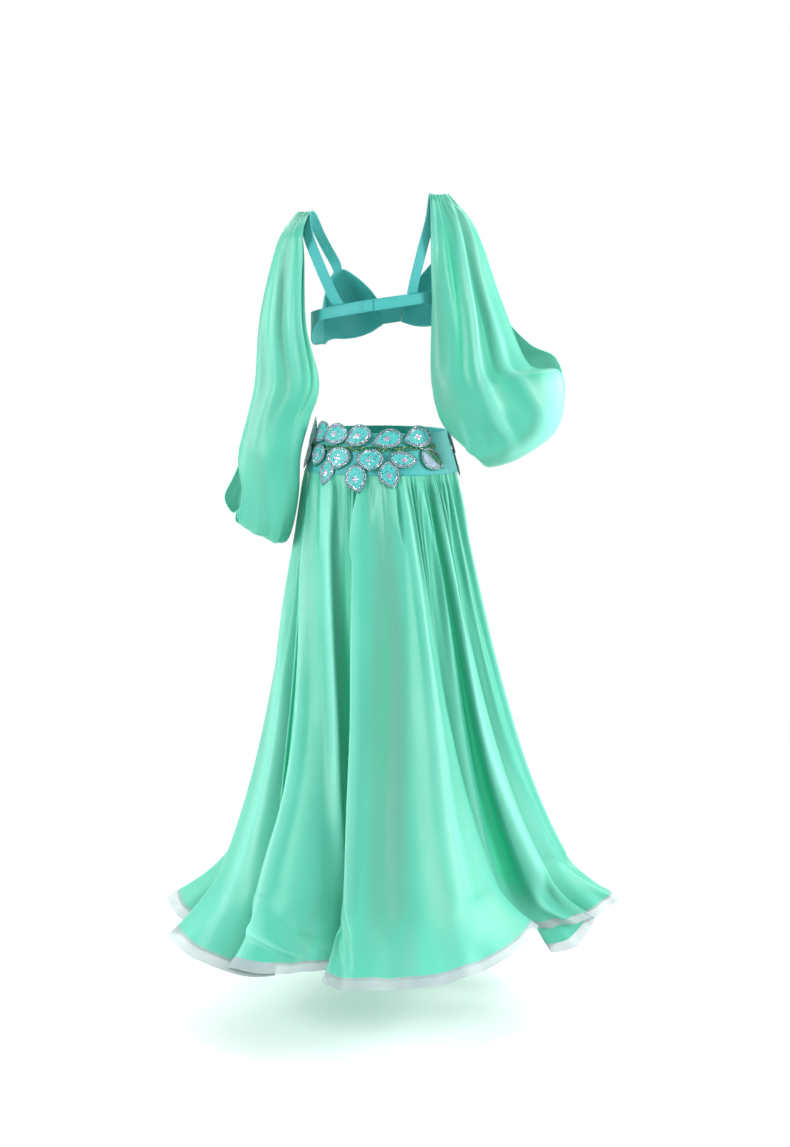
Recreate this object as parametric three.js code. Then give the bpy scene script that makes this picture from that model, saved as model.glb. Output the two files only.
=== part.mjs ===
// Belly dance dress: bra top with slit sleeves, and a full gathered skirt on a jewelled hip yoke.
// Millimetres, +Z up, the wearer faces -Y, the wearer's left is +X.
// The origin lies midway between the tops of the two shoulder straps.
import * as THREE from 'three';

// ---------- driving sizes ----------
const SEAM_GAP = 0.3;
const SATIN_WALL = 1.2;
const BRAID_WALL = 1.2;
const STRETCH_WALL = 1.8;
const CUP_WALL = 3;
const CUP_SEAM_GAP = 1.6;
const YOKE_WALL = 1.6;
const LEAF_WALL = 1.2;

// Hip line that the yoke, the leaves and the skirt share.
const HIP_CENTRE = { x: -18, y: -4 };
const YOKE_TOP = { z: -405, across: 119, deep: 98 };
const YOKE_SEAM = { z: -480, across: 141, deep: 114 };

// Torso line under the bra, and the slope of the raised right shoulder.
const TORSO = { x: -18, y: 0, across: 127, deep: 99 };
const SHOULDER_TILT = -0.155;

const SKIRT_KNEE_Z = -1210;
const BRAID_START = 1.87;
const BRAID_MIDDLE = 1.94;
const COLUMNS_PER_FOLD = 3;
const GATHER_DEPTH = 1;

// One row per turn of the hem, counter-clockwise seen from above.
// top: where it leaves the yoke (degrees); knee, kneeOut: azimuth and radius at knee height;
// hem, hemOut, hemZ: azimuth, radius and height at the hem.
const HEM_TURNS = [
  { top: -14, knee: -14, kneeOut: 236, hem: -12, hemOut: 300, hemZ: -1350 },
  { top: -7, knee: -4, kneeOut: 286, hem: 4, hemOut: 398, hemZ: -1302 },
  { top: -2, knee: 8, kneeOut: 290, hem: 18, hemOut: 392, hemZ: -1308 },
  { top: 2, knee: 16, kneeOut: 262, hem: 29, hemOut: 325, hemZ: -1350 },
  { top: 6, knee: 22, kneeOut: 300, hem: 34, hemOut: 414, hemZ: -1310 },
  { top: 9.5, knee: 36, kneeOut: 308, hem: 47, hemOut: 424, hemZ: -1318 },
  { top: 13, knee: 50, kneeOut: 304, hem: 58, hemOut: 402, hemZ: -1332 },
  { top: 16, knee: 60, kneeOut: 262, hem: 66, hemOut: 318, hemZ: -1372 },
  { top: 20.5, knee: 59, kneeOut: 311, hem: 60.5, hemOut: 400, hemZ: -1326 },
  { top: 30, knee: 68, kneeOut: 306, hem: 70, hemOut: 402, hemZ: -1320 },
  { top: 44, knee: 77, kneeOut: 290, hem: 78, hemOut: 370, hemZ: -1320 },
  { top: 60, knee: 84, kneeOut: 268, hem: 86, hemOut: 341, hemZ: -1318 },
  { top: 73, knee: 90, kneeOut: 238, hem: 94, hemOut: 294, hemZ: -1330 },
  { top: 78, knee: 88.5, kneeOut: 290, hem: 86.5, hemOut: 370, hemZ: -1326 },
  { top: 86, knee: 95, kneeOut: 304, hem: 92.5, hemOut: 402, hemZ: -1328 },
  { top: 94, knee: 104, kneeOut: 308, hem: 101, hemOut: 416, hemZ: -1322 },
  { top: 102, knee: 114, kneeOut: 312, hem: 112, hemOut: 418, hemZ: -1320 },
  { top: 109, knee: 125, kneeOut: 306, hem: 125, hemOut: 397, hemZ: -1316 },
  { top: 115, knee: 139, kneeOut: 292, hem: 142, hemOut: 365, hemZ: -1305 },
  { top: 120, knee: 153, kneeOut: 268, hem: 160, hemOut: 333, hemZ: -1292 },
  { top: 123, knee: 156.5, kneeOut: 243, hem: 169, hemOut: 292, hemZ: -1304 },
  { top: 126, knee: 160, kneeOut: 215, hem: 172, hemOut: 251, hemZ: -1322 },
  { top: 132, knee: 165.5, kneeOut: 240, hem: 181, hemOut: 302, hemZ: -1334 },
  { top: 137, knee: 169.5, kneeOut: 288, hem: 184.5, hemOut: 354, hemZ: -1329 },
  { top: 141, knee: 174, kneeOut: 318, hem: 188.6, hemOut: 402, hemZ: -1324 },
  { top: 144, knee: 178, kneeOut: 306, hem: 191, hemOut: 398, hemZ: -1346 },
  { top: 147, knee: 179.5, kneeOut: 276, hem: 186.5, hemOut: 370, hemZ: -1376 },
  { top: 150, knee: 182, kneeOut: 250, hem: 182, hemOut: 322, hemZ: -1382 },
  { top: 153, knee: 186, kneeOut: 284, hem: 189.5, hemOut: 340, hemZ: -1368 },
  { top: 157, knee: 189, kneeOut: 336, hem: 193, hemOut: 418, hemZ: -1326 },
  { top: 163, knee: 193, kneeOut: 354, hem: 197, hemOut: 458, hemZ: -1304 },
  { top: 170, knee: 200, kneeOut: 346, hem: 204, hemOut: 425, hemZ: -1306 },
  { top: 180, knee: 209, kneeOut: 280, hem: 213, hemOut: 330, hemZ: -1350 },
  { top: 196, knee: 222, kneeOut: 320, hem: 225, hemOut: 425, hemZ: -1308 },
  { top: 212, knee: 236, kneeOut: 262, hem: 238, hemOut: 318, hemZ: -1352 },
  { top: 228, knee: 250, kneeOut: 322, hem: 253, hemOut: 428, hemZ: -1306 },
  { top: 244, knee: 262, kneeOut: 258, hem: 264, hemOut: 312, hemZ: -1355 },
  { top: 260, knee: 276, kneeOut: 325, hem: 277, hemOut: 430, hemZ: -1308 },
  { top: 275, knee: 289, kneeOut: 262, hem: 289, hemOut: 318, hemZ: -1352 },
  { top: 290, knee: 302, kneeOut: 318, hem: 302, hemOut: 422, hemZ: -1310 },
  { top: 306, knee: 315, kneeOut: 258, hem: 315, hemOut: 312, hemZ: -1354 },
  { top: 324, knee: 329, kneeOut: 314, hem: 331, hemOut: 418, hemZ: -1308 },
];
// Rows of HEM_TURNS just before each seam between gores, and how far past the row the seam lies.
// Columns where one gore is sewn to the next.
const GORE_SEAMS = [1, 23, 39, 64, 82, 97, 109, 121];
const GORE_LEVELS = [0, 0.12, 0.34, 0.62, 0.86, 1, 1.4, BRAID_START];

// Sleeve sections from the strap to the cuff. fold: the closed side; slit: the open side;
// backDeep, frontDeep: how far each panel bellies out from the line between them;
// back, front: how far each panel's edge stands from the slit line (degrees).
const LEFT_SLEEVE = [
  { fold: [104, 36, -13.8], slit: [130, -6, -13.4], backDeep: 11, frontDeep: -2, back: 42, front: 42 },
  { fold: [103, 86, -49], slit: [142, 2, -46], backDeep: 26, frontDeep: -14, back: 36, front: 40 },
  { fold: [101, 87, -95], slit: [162, 12, -88], backDeep: 32, frontDeep: -10, back: 30, front: 38 },
  { fold: [101, 78, -210], slit: [192, 20, -205], backDeep: 42, frontDeep: -4, back: 26, front: 30 },
  { fold: [88, 50, -320], slit: [206, 26, -316], backDeep: 52, frontDeep: 40, back: 25, front: 24 },
  { fold: [104, 68, -385], slit: [217, 24, -375], backDeep: 48, frontDeep: 36, back: 26, front: 16 },
  { fold: [118, 86, -445], slit: [232, 22, -432], backDeep: 46, frontDeep: 38, back: 42, front: 8 },
  { fold: [122, 78, -520], slit: [258, 14, -492], backDeep: 46, frontDeep: 40, back: 78, front: 3 },
  { fold: [136, 66, -585], slit: [276, 14, -530], backDeep: 42, frontDeep: 38, back: 84, front: 1 },
  { fold: [154, 52, -612], slit: [270, 16, -552], backDeep: 36, frontDeep: 33, back: 78, front: 1 },
  { fold: [182, 38, -596], slit: [258, 20, -562], backDeep: 30, frontDeep: 28, back: 60, front: 1 },
  { fold: [196, 32, -574], slit: [248, 23, -556], backDeep: 26, frontDeep: 23, back: 40, front: 1 },
];
const RIGHT_SLEEVE = [
  { fold: [-111, 10, 15.2], slit: [-134, -34, 17.6], backDeep: 11, frontDeep: -1, back: 42, front: 42 },
  { fold: [-123, 66, -60], slit: [-184, -26, -44], backDeep: 24, frontDeep: -6, back: 34, front: 36 },
  { fold: [-126, 70, -170], slit: [-240, -8, -178], backDeep: 32, frontDeep: 2, back: 24, front: 30 },
  { fold: [-124, 68, -285], slit: [-292, 4, -282], backDeep: 46, frontDeep: 44, back: 22, front: 10, frontUp: 36 },
  { fold: [-128, 66, -335], slit: [-344, -6, -294], backDeep: 56, frontDeep: 52, back: 14, front: 14, frontUp: 20 },
  { fold: [-134, 64, -362], slit: [-354, -2, -345], backDeep: 56, frontDeep: 40, back: 1, front: 1 },
  { fold: [-140, 62, -380], slit: [-338, 6, -404], backDeep: 50, frontDeep: 36, back: 1, front: 1 },
  { fold: [-146, 60, -392], slit: [-278, 22, -450], backDeep: 42, frontDeep: 32, back: 1, front: 1 },
  { fold: [-152, 58, -400], slit: [-226, 36, -466], backDeep: 34, frontDeep: 28, back: 1, front: 1 },
  { fold: [-160, 56, -408], slit: [-210, 43, -452], backDeep: 28, frontDeep: 25, back: 1, front: 1 },
  { fold: [-166, 54, -396], slit: [-208, 45, -430], backDeep: 26, frontDeep: 22, back: 1, front: 1 },
];
const SLEEVE_COLUMNS = 7;
const CUFF_HEIGHT = 12;
const CUFF_COLUMNS = 14;

// Strap centre lines from the back band over the shoulder to the cup, before the shoulder tilt.
const STRAP_WIDTH = 18;
const LEFT_STRAP = [
  { x: 41, y: 90.2, z: -172 },
  { x: 50, y: 97, z: -148 },
  { x: 71, y: 98, z: -97 },
  { x: 97, y: 73, z: -42 },
  { x: 112, y: 30, z: -3 },
  { x: 113, y: -12, z: -2 },
  { x: 109, y: -60, z: -36 },
  { x: 97, y: -94, z: -74 },
  { x: 82, y: -110, z: -104 },
];
const RIGHT_STRAP = [
  { x: -93, y: 82.3, z: -172 },
  { x: -99, y: 85, z: -148 },
  { x: -109, y: 73, z: -100 },
  { x: -116, y: 38, z: -48 },
  { x: -114, y: -4, z: -4 },
  { x: -114, y: -34, z: -8 },
  { x: -116, y: -66, z: -38 },
  { x: -117, y: -94, z: -76 },
  { x: -116, y: -110, z: -104 },
];
// Where each strap stands on the wing and the cup, as shares of their widths.
const STRAP_ENDS = {
  left: { wing: 0.77, wingHalf: 0.04, cup: 0.59, cupHalf: 0.065, clear: 1, cupClear: 1.7 },
  right: { wing: 0.683, wingHalf: 0.04, cup: 0.58, cupHalf: 0.07, clear: 0.95, cupClear: 1.6 },
};

// Cup outline by station across the cup: 0 at the bridge, 1 at the side seam.
const CUP_SPAN = { start: 8, end: 66 };
const CUP_STATIONS = [
  { across: 0, bottom: -216, top: -184, out: 0 },
  { across: 0.17, bottom: -226, top: -150, out: 26 },
  { across: 0.34, bottom: -231, top: -122, out: 42 },
  { across: 0.52, bottom: -231, top: -104, out: 46 },
  { across: 0.7, bottom: -228, top: -116, out: 38 },
  { across: 0.86, bottom: -230, top: -150, out: 20 },
  { across: 1, bottom: -236, top: -182, out: 0 },
];
const CUP_LEVELS = 5;
const WING_SIDE = { bottom: -236, top: -182 };
const WING_HOOK = { bottom: -193, top: -172 };
const WING_COLUMNS = 12;
const HOOK_TAB = { halfWidth: 8, overlap: 1.1 };

// Leaves: azimuth on the hip, height of the leaf's middle, length, width, turn of the tip from
// straight down towards +X (degrees), and the layer it lies in.
const LEAVES = [
  { name: 'leaf_upper_1', az: 21, z: -407, length: 54, width: 34, turn: 158, layer: 2 },
  { name: 'leaf_upper_2', az: 40, z: -408, length: 42, width: 38, turn: 40, layer: 1 },
  { name: 'leaf_upper_3', az: 59, z: -410, length: 54, width: 37, turn: 80, layer: 2 },
  { name: 'leaf_upper_4', az: 81, z: -412, length: 50, width: 37, turn: 58, layer: 1 },
  { name: 'leaf_upper_5', az: 105.5, z: -416, length: 55, width: 34, turn: 74, layer: 1 },
  { name: 'leaf_upper_6', az: 132, z: -414, length: 54, width: 38, turn: 80, layer: 1 },
  { name: 'leaf_lower_1', az: 22, z: -451, length: 46, width: 34, turn: 6, layer: 1 },
  { name: 'leaf_lower_2', az: 43.5, z: -448, length: 40, width: 38, turn: 12, layer: 1 },
  { name: 'leaf_lower_3', az: 67, z: -450, length: 40, width: 48, turn: 8, layer: 1 },
  { name: 'leaf_lower_4', az: 93, z: -452, length: 40, width: 48, turn: 4, layer: 1 },
  { name: 'leaf_lower_5', az: 118, z: -449, length: 50, width: 30, turn: -80, layer: 1 },
  { name: 'leaf_two_tone', az: 143.5, z: -452, length: 50, width: 36, turn: -46, layer: 1 },
  { name: 'leaf_hanging_1', az: 57, z: -477, length: 46, width: 33, turn: 6, layer: 0 },
  { name: 'leaf_hanging_2', az: 83, z: -485, length: 52, width: 40, turn: -12, layer: 0 },
  { name: 'leaf_hanging_3', az: 107, z: -478, length: 50, width: 38, turn: -10, layer: 0 },
  { name: 'leaf_side_left', az: 2, z: -446, length: 48, width: 34, turn: 10, layer: 1 },
  { name: 'leaf_side_right_1', az: 198, z: -424, length: 50, width: 36, turn: 14, layer: 1 },
  { name: 'leaf_side_right_2', az: 199, z: -466, length: 48, width: 34, turn: 0, layer: 0 },
];
const LEAF_LIFT = { first: 1.6, step: 2.15 };
// Half width of a leaf along its length, from stalk to tip.
const LEAF_OUTLINE = [
  { along: -0.5, half: 0.1 },
  { along: -0.32, half: 0.42 },
  { along: -0.05, half: 0.5 },
  { along: 0.22, half: 0.38 },
  { along: 0.4, half: 0.14 },
  { along: 0.5, half: 0.03 },
];
const LEAF_DOME = 0.3;
const STEM = { from: -8, to: 150, z: -429, drop: -4, width: 9, wall: 2.4, lift: 0.7 };

// ---------- materials ----------
function cloth(name, color, roughness) {
  const material = new THREE.MeshStandardMaterial({ color, roughness, metalness: 0 });
  material.name = name;
  material.side = THREE.DoubleSide;
  return material;
}

const SATIN = () => cloth('mint_satin', 0x63d3b6, 0.5);
const BRAID = () => cloth('horsehair_braid', 0xdbe6e4, 0.55);
const STRETCH = () => cloth('turquoise_stretch', 0x58cfcb, 0.55);
const LEAF = () => cloth('jewelled_leaf', 0x62d2d2, 0.4);
const STEM_BEADS = () => cloth('green_beads', 0x2f8f5e, 0.4);

// ---------- small helpers ----------
function vec(x, y, z) {
  return new THREE.Vector3(x, y, z);
}

function radians(degrees) {
  return degrees * Math.PI / 180;
}

function mix(a, b, t) {
  return a + (b - a) * t;
}

function spline(values, index, t) {
  const last = values.length - 1;
  const a = values[Math.max(index - 1, 0)];
  const b = values[index];
  const c = values[Math.min(index + 1, last)];
  const d = values[Math.min(index + 2, last)];
  const t2 = t * t;
  const t3 = t2 * t;
  return 0.5 * (2 * b + (c - a) * t + (2 * a - 5 * b + 4 * c - d) * t2 + (3 * b - a - 3 * c + d) * t3);
}

/**
 * Middle points and normals of a surface given as a function of (column, row).
 * Both are taken at the listed columns and rows, so pieces that share an edge share its normals.
 */
function sheet(surface, columns, rows) {
  const step = 0.02;
  const points = [];
  const normals = [];
  for (const row of rows) {
    const pointLine = [];
    const normalLine = [];
    for (const column of columns) {
      const across = surface(column + step, row).sub(surface(column - step, row));
      const down = surface(column, row + step).sub(surface(column, row - step));
      pointLine.push(surface(column, row));
      normalLine.push(across.cross(down).normalize());
    }
    points.push(pointLine);
    normals.push(normalLine);
  }
  return { points, normals };
}

function steps(from, to, count) {
  return Array.from({ length: count + 1 }, (_, index) => mix(from, to, index / count));
}

/** A closed thin wall round the middle points of a sheet; a ring has its last column joined to the first. */
function wall(name, cut, thickness, material, ring = false) {
  const rows = cut.points.length;
  const columns = cut.points[0].length;
  const spans = ring ? columns : columns - 1;
  const positions = [];
  for (const side of [0.5, -0.5]) {
    for (let row = 0; row < rows; row += 1) {
      for (let column = 0; column < columns; column += 1) {
        const normal = cut.normals[row][column];
        const point = cut.points[row][column].clone().addScaledVector(normal, side * thickness);
        positions.push(point.x, point.y, point.z);
      }
    }
  }
  const back = rows * columns;
  const at = (row, column) => row * columns + (column % columns);
  const index = [];
  const quad = (a, b, c, d) => {
    index.push(a, b, c);
    index.push(a, c, d);
  };
  for (let row = 0; row < rows - 1; row += 1) {
    for (let column = 0; column < spans; column += 1) {
      const a = at(row, column);
      const b = at(row, column + 1);
      const c = at(row + 1, column + 1);
      const d = at(row + 1, column);
      quad(a, b, c, d);
      quad(back + a, back + d, back + c, back + b);
    }
  }
  for (let column = 0; column < spans; column += 1) {
    quad(at(0, column + 1), at(0, column), back + at(0, column), back + at(0, column + 1));
    quad(at(rows - 1, column), at(rows - 1, column + 1), back + at(rows - 1, column + 1), back + at(rows - 1, column));
  }
  if (!ring) {
    for (let row = 0; row < rows - 1; row += 1) {
      quad(at(row, 0), at(row + 1, 0), back + at(row + 1, 0), back + at(row, 0));
      quad(at(row + 1, spans), at(row, spans), back + at(row, spans), back + at(row + 1, spans));
    }
  }
  return solid(name, positions, index, material);
}

/** A mesh whose faces are turned outwards by the sign of its volume. */
function solid(name, positions, index, material) {
  let volume = 0;
  const corner = (i) => vec(positions[3 * i], positions[3 * i + 1], positions[3 * i + 2]);
  for (let i = 0; i < index.length; i += 3) {
    volume += corner(index[i]).dot(corner(index[i + 1]).cross(corner(index[i + 2])));
  }
  if (volume < 0) {
    index.reverse();
  }
  const geometry = new THREE.BufferGeometry();
  geometry.setAttribute('position', new THREE.Float32BufferAttribute(positions, 3));
  geometry.setIndex(index);
  geometry.computeVertexNormals();
  const mesh = new THREE.Mesh(geometry, material);
  mesh.name = name;
  return mesh;
}

/** Draws both side edges of a sheet in by half the gap. */
function insetSides(cut, gap = SEAM_GAP) {
  for (const line of cut.points) {
    const last = line.length - 1;
    const first = line[1].clone().sub(line[0]).normalize();
    const end = line[last - 1].clone().sub(line[last]).normalize();
    line[0].addScaledVector(first, gap / 2);
    line[last].addScaledVector(end, gap / 2);
  }
  return cut;
}

/** Draws the top edge of a sheet down by the given distance. */
function insetTop(cut, distance) {
  cut.points[0].forEach((point, column) => {
    const towards = cut.points[1][column].clone().sub(point).normalize();
    point.addScaledVector(towards, distance);
  });
  return cut;
}

// ---------- hip line ----------
function hipPoint(az, z, lift = 0) {
  const t = (z - YOKE_TOP.z) / (YOKE_SEAM.z - YOKE_TOP.z);
  const across = mix(YOKE_TOP.across, YOKE_SEAM.across, t) + lift;
  const deep = mix(YOKE_TOP.deep, YOKE_SEAM.deep, t) + lift;
  const angle = radians(az);
  return vec(HIP_CENTRE.x + across * Math.cos(angle), HIP_CENTRE.y + deep * Math.sin(angle), z);
}

function yoke(name, from, to) {
  const cut = sheet(hipPoint, steps(from, to, 14), steps(YOKE_TOP.z, YOKE_SEAM.z + SEAM_GAP, 2));
  return wall(name, insetSides(cut), YOKE_WALL, STRETCH());
}

// ---------- skirt ----------
function turnValue(key, turn, t) {
  const count = HEM_TURNS.length;
  const value = (offset) => {
    const index = turn + offset;
    const lap = Math.floor(index / count);
    const angle = key === 'top' || key === 'knee' || key === 'hem';
    return HEM_TURNS[index - lap * count][key] + (angle ? 360 * lap : 0);
  };
  return spline([value(-1), value(0), value(1), value(2)], 1, t);
}

/** Middle of the skirt cloth: column counts along the hem, level 0 yoke, 1 knee, 2 hem. */
function skirtPoint(column, level) {
  const turn = Math.floor(column / COLUMNS_PER_FOLD);
  const t = column / COLUMNS_PER_FOLD - turn;
  const top = radians(turnValue('top', turn, t));
  const knee = radians(turnValue('knee', turn, t));
  const kneeOut = turnValue('kneeOut', turn, t);
  const gather = Math.cos(Math.PI * column) * GATHER_DEPTH * Math.max(0, 1 - level / 0.5);
  const topX = (YOKE_SEAM.across + gather) * Math.cos(top);
  const topY = (YOKE_SEAM.deep + gather) * Math.sin(top);
  const kneeX = kneeOut * Math.cos(knee);
  const kneeY = kneeOut * Math.sin(knee);
  if (level <= 1) {
    const spread = 0.7 * level + 0.3 * level ** 4;
    const z = mix(YOKE_SEAM.z, SKIRT_KNEE_Z, level);
    return vec(HIP_CENTRE.x + mix(topX, kneeX, spread), HIP_CENTRE.y + mix(topY, kneeY, spread), z);
  }
  const hem = radians(turnValue('hem', turn, t));
  const hemOut = turnValue('hemOut', turn, t);
  const hemZ = turnValue('hemZ', turn, t);
  const fall = level - 1;
  const spread = fall ** 1.3;
  const x = mix(kneeX, hemOut * Math.cos(hem), spread);
  const y = mix(kneeY, hemOut * Math.sin(hem), spread);
  return vec(HIP_CENTRE.x + x, HIP_CENTRE.y + y, mix(SKIRT_KNEE_Z, hemZ, fall));
}

function goreSheet(gore, levels) {
  const first = GORE_SEAMS[gore];
  const round = HEM_TURNS.length * COLUMNS_PER_FOLD;
  const last = gore + 1 < GORE_SEAMS.length ? GORE_SEAMS[gore + 1] : GORE_SEAMS[0] + round;
  return insetSides(sheet(skirtPoint, steps(first, last, last - first), levels));
}

function addSkirt(dress) {
  for (let gore = 0; gore < GORE_SEAMS.length; gore += 1) {
    dress.add(wall(`skirt_gore_${gore + 1}`, goreSheet(gore, GORE_LEVELS), SATIN_WALL, SATIN()));
    const strip = insetTop(goreSheet(gore, [BRAID_START, BRAID_MIDDLE, 2]), 3 * SEAM_GAP);
    dress.add(wall(`hem_braid_${gore + 1}`, strip, BRAID_WALL, BRAID()));
  }
}

// ---------- sleeves ----------
/** Middle of a sleeve's cloth: turn in degrees round the section, row counted along the sections. */
function sleevePoint(sections, turn, row) {
  const index = Math.min(Math.max(Math.floor(row), 0), sections.length - 2);
  const t = row - index;
  const at = (pick) => spline(sections.map(pick), index, t);
  const fold = vec(at((cut) => cut.fold[0]), at((cut) => cut.fold[1]), at((cut) => cut.fold[2]));
  const slit = vec(at((cut) => cut.slit[0]), at((cut) => cut.slit[1]), at((cut) => cut.slit[2]));
  const middle = fold.clone().add(slit).multiplyScalar(0.5);
  const half = slit.clone().sub(fold).multiplyScalar(0.5);
  const sign = half.x > 0 ? 1 : -1;
  const angle = radians(turn);
  const reach = Math.sin(angle) * at((cut) => (turn > 0 && turn < 180 ? cut.backDeep : cut.frontDeep));
  const deep = vec(-half.y * sign, half.x * sign, 0).normalize().multiplyScalar(reach);
  const point = middle.addScaledVector(half, Math.cos(angle)).add(deep);
  if (turn > 180 && turn < 360) {
    point.z += at((cut) => cut.frontUp ?? 0) * (0.5 + Math.cos(angle) / 2);
  }
  return point;
}

function sleevePanel(name, sections, side) {
  const last = sections.length - 1;
  const edge = (row) => {
    const index = Math.min(Math.max(Math.floor(row), 0), last - 1);
    return spline(sections.map((cut) => (side > 0 ? cut.back : cut.front)), index, row - index);
  };
  const surface = (column, row) => {
    const turn = mix(edge(row), 180, column);
    return sleevePoint(sections, side > 0 ? turn : 360 - turn, row);
  };
  const cut = sheet(surface, steps(0, 1, SLEEVE_COLUMNS), steps(0, last, last));
  return wall(name, insetSides(cut), SATIN_WALL, SATIN());
}

/** A ring round the wrist, carried on from the last section of the sleeve. */
function cuff(name, sections) {
  const last = sections.length - 1;
  const turns = steps(0, 360, CUFF_COLUMNS).slice(0, CUFF_COLUMNS);
  const surface = (turn, down) => {
    const edge = sleevePoint(sections, turn, last);
    const on = edge.clone().sub(sleevePoint(sections, turn, last - 0.1)).normalize();
    return edge.addScaledVector(on, down);
  };
  return wall(name, sheet(surface, turns, [2 * SEAM_GAP, CUFF_HEIGHT]), SATIN_WALL, SATIN(), true);
}

function addSleeves(dress) {
  for (const [side, sections] of [['left', LEFT_SLEEVE], ['right', RIGHT_SLEEVE]]) {
    dress.add(sleevePanel(`sleeve_${side}_back`, sections, 1));
    dress.add(sleevePanel(`sleeve_${side}_front`, sections, -1));
    dress.add(cuff(`sleeve_${side}_cuff`, sections));
  }
}

// ---------- bra top ----------
function tilted(point) {
  point.z += SHOULDER_TILT * point.x;
  return point;
}

function torsoPoint(az, z, out = 0) {
  const angle = radians(az);
  const x = TORSO.x + (TORSO.across + out) * Math.cos(angle);
  const y = TORSO.y + (TORSO.deep + out) * Math.sin(angle);
  return tilted(vec(x, y, z));
}

function cupValue(key, across) {
  const last = CUP_STATIONS.length - 1;
  let index = 0;
  while (index < last - 1 && CUP_STATIONS[index + 1].across < across) {
    index += 1;
  }
  const from = CUP_STATIONS[index].across;
  const to = CUP_STATIONS[index + 1].across;
  return spline(CUP_STATIONS.map((station) => station[key]), index, (across - from) / (to - from));
}

function cupPoint(side, across, rise) {
  const az = -90 + side * mix(CUP_SPAN.start, CUP_SPAN.end, across);
  const out = cupValue('out', across) * Math.sin(Math.PI * mix(0.08, 0.8, rise));
  return torsoPoint(az, mix(cupValue('bottom', across), cupValue('top', across), rise), out);
}

function cup(name, side) {
  const surface = (across, rise) => cupPoint(side, across, rise);
  const cut = sheet(surface, steps(0, 1, 9), steps(0, 1, CUP_LEVELS));
  return wall(name, insetSides(cut, CUP_SEAM_GAP), CUP_WALL, STRETCH());
}

function bridge() {
  const surface = (turn, rise) => torsoPoint(-90 + turn, mix(CUP_STATIONS[0].bottom, CUP_STATIONS[0].top, rise));
  const cut = sheet(surface, steps(-CUP_SPAN.start, CUP_SPAN.start, 4), steps(0, 1, 2));
  return wall('bra_bridge', insetSides(cut), STRETCH_WALL, STRETCH());
}

/** A point of a wing: t runs from the cup to the hook, rise from the bottom edge to the top. */
function wingPoint(side, t, rise) {
  const az = 90 - side * mix(180 - CUP_SPAN.end, 0, t);
  const narrowed = THREE.MathUtils.smoothstep(t, 0.12, 0.62);
  const bottom = mix(WING_SIDE.bottom, WING_HOOK.bottom, narrowed);
  const top = mix(WING_SIDE.top, WING_HOOK.top, 1 - (1 - t) ** 2);
  return torsoPoint(az, mix(bottom, top, rise));
}

function wing(name, side) {
  const surface = (t, rise) => wingPoint(side, t, rise);
  const cut = sheet(surface, steps(0, 1, WING_COLUMNS), steps(0, 1, 2));
  return wall(name, insetSides(cut), STRETCH_WALL, STRETCH());
}

function hookTab() {
  const out = STRETCH_WALL + SEAM_GAP;
  const turn = HOOK_TAB.halfWidth / TORSO.across * 180 / Math.PI;
  const surface = (az, rise) => torsoPoint(az, mix(WING_HOOK.bottom, WING_HOOK.top, rise), out);
  const cut = sheet(surface, steps(90 - turn, 90 + turn, 3), steps(0.04, 0.96, 1));
  return wall('bra_hook_tab', cut, STRETCH_WALL, STRETCH());
}

/** A ribbon over the shoulder whose ends stand on the top edges of the wing and of the cup. */
function strap(name, stations, side, ends) {
  const inside = vec(side * 60, 0, -120);
  const last = stations.length - 1;
  const centreAt = (row) => {
    const index = Math.min(Math.max(Math.floor(row), 0), last - 1);
    const at = (key) => spline(stations.map((station) => station[key]), index, row - index);
    return vec(at('x'), at('y'), at('z'));
  };
  const ribbon = (across, row) => {
    const centre = centreAt(row);
    const along = centreAt(row + 0.05).sub(centreAt(row - 0.05));
    const offset = along.cross(centre.clone().sub(inside)).normalize();
    return tilted(centre.addScaledVector(offset, across * STRAP_WIDTH / 2));
  };
  const surface = (across, row) => {
    const toWing = wingPoint(side, ends.wing + side * across * ends.wingHalf, 1).sub(ribbon(across, 0));
    const toCup = cupPoint(side, ends.cup - side * across * ends.cupHalf, 1).sub(ribbon(across, last));
    toWing.z += ends.clear;
    toCup.z += ends.cupClear;
    const point = ribbon(across, row);
    point.addScaledVector(toWing, Math.max(0, 1 - row) ** 2);
    return point.addScaledVector(toCup, Math.max(0, 1 - last + row) ** 2);
  };
  return wall(name, sheet(surface, [-1, 0, 1], steps(0, last, last)), STRETCH_WALL, STRETCH());
}

function addBra(dress) {
  dress.add(cup('bra_cup_left', 1));
  dress.add(cup('bra_cup_right', -1));
  dress.add(bridge());
  dress.add(wing('bra_wing_left', 1));
  dress.add(wing('bra_wing_right', -1));
  dress.add(hookTab());
  dress.add(strap('bra_strap_left', LEFT_STRAP, 1, STRAP_ENDS.left));
  dress.add(strap('bra_strap_right', RIGHT_STRAP, -1, STRAP_ENDS.right));
}

// ---------- belt ----------
function layerLift(layer) {
  return YOKE_WALL / 2 + LEAF_LIFT.first + layer * LEAF_LIFT.step + LEAF_WALL / 2;
}

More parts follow.
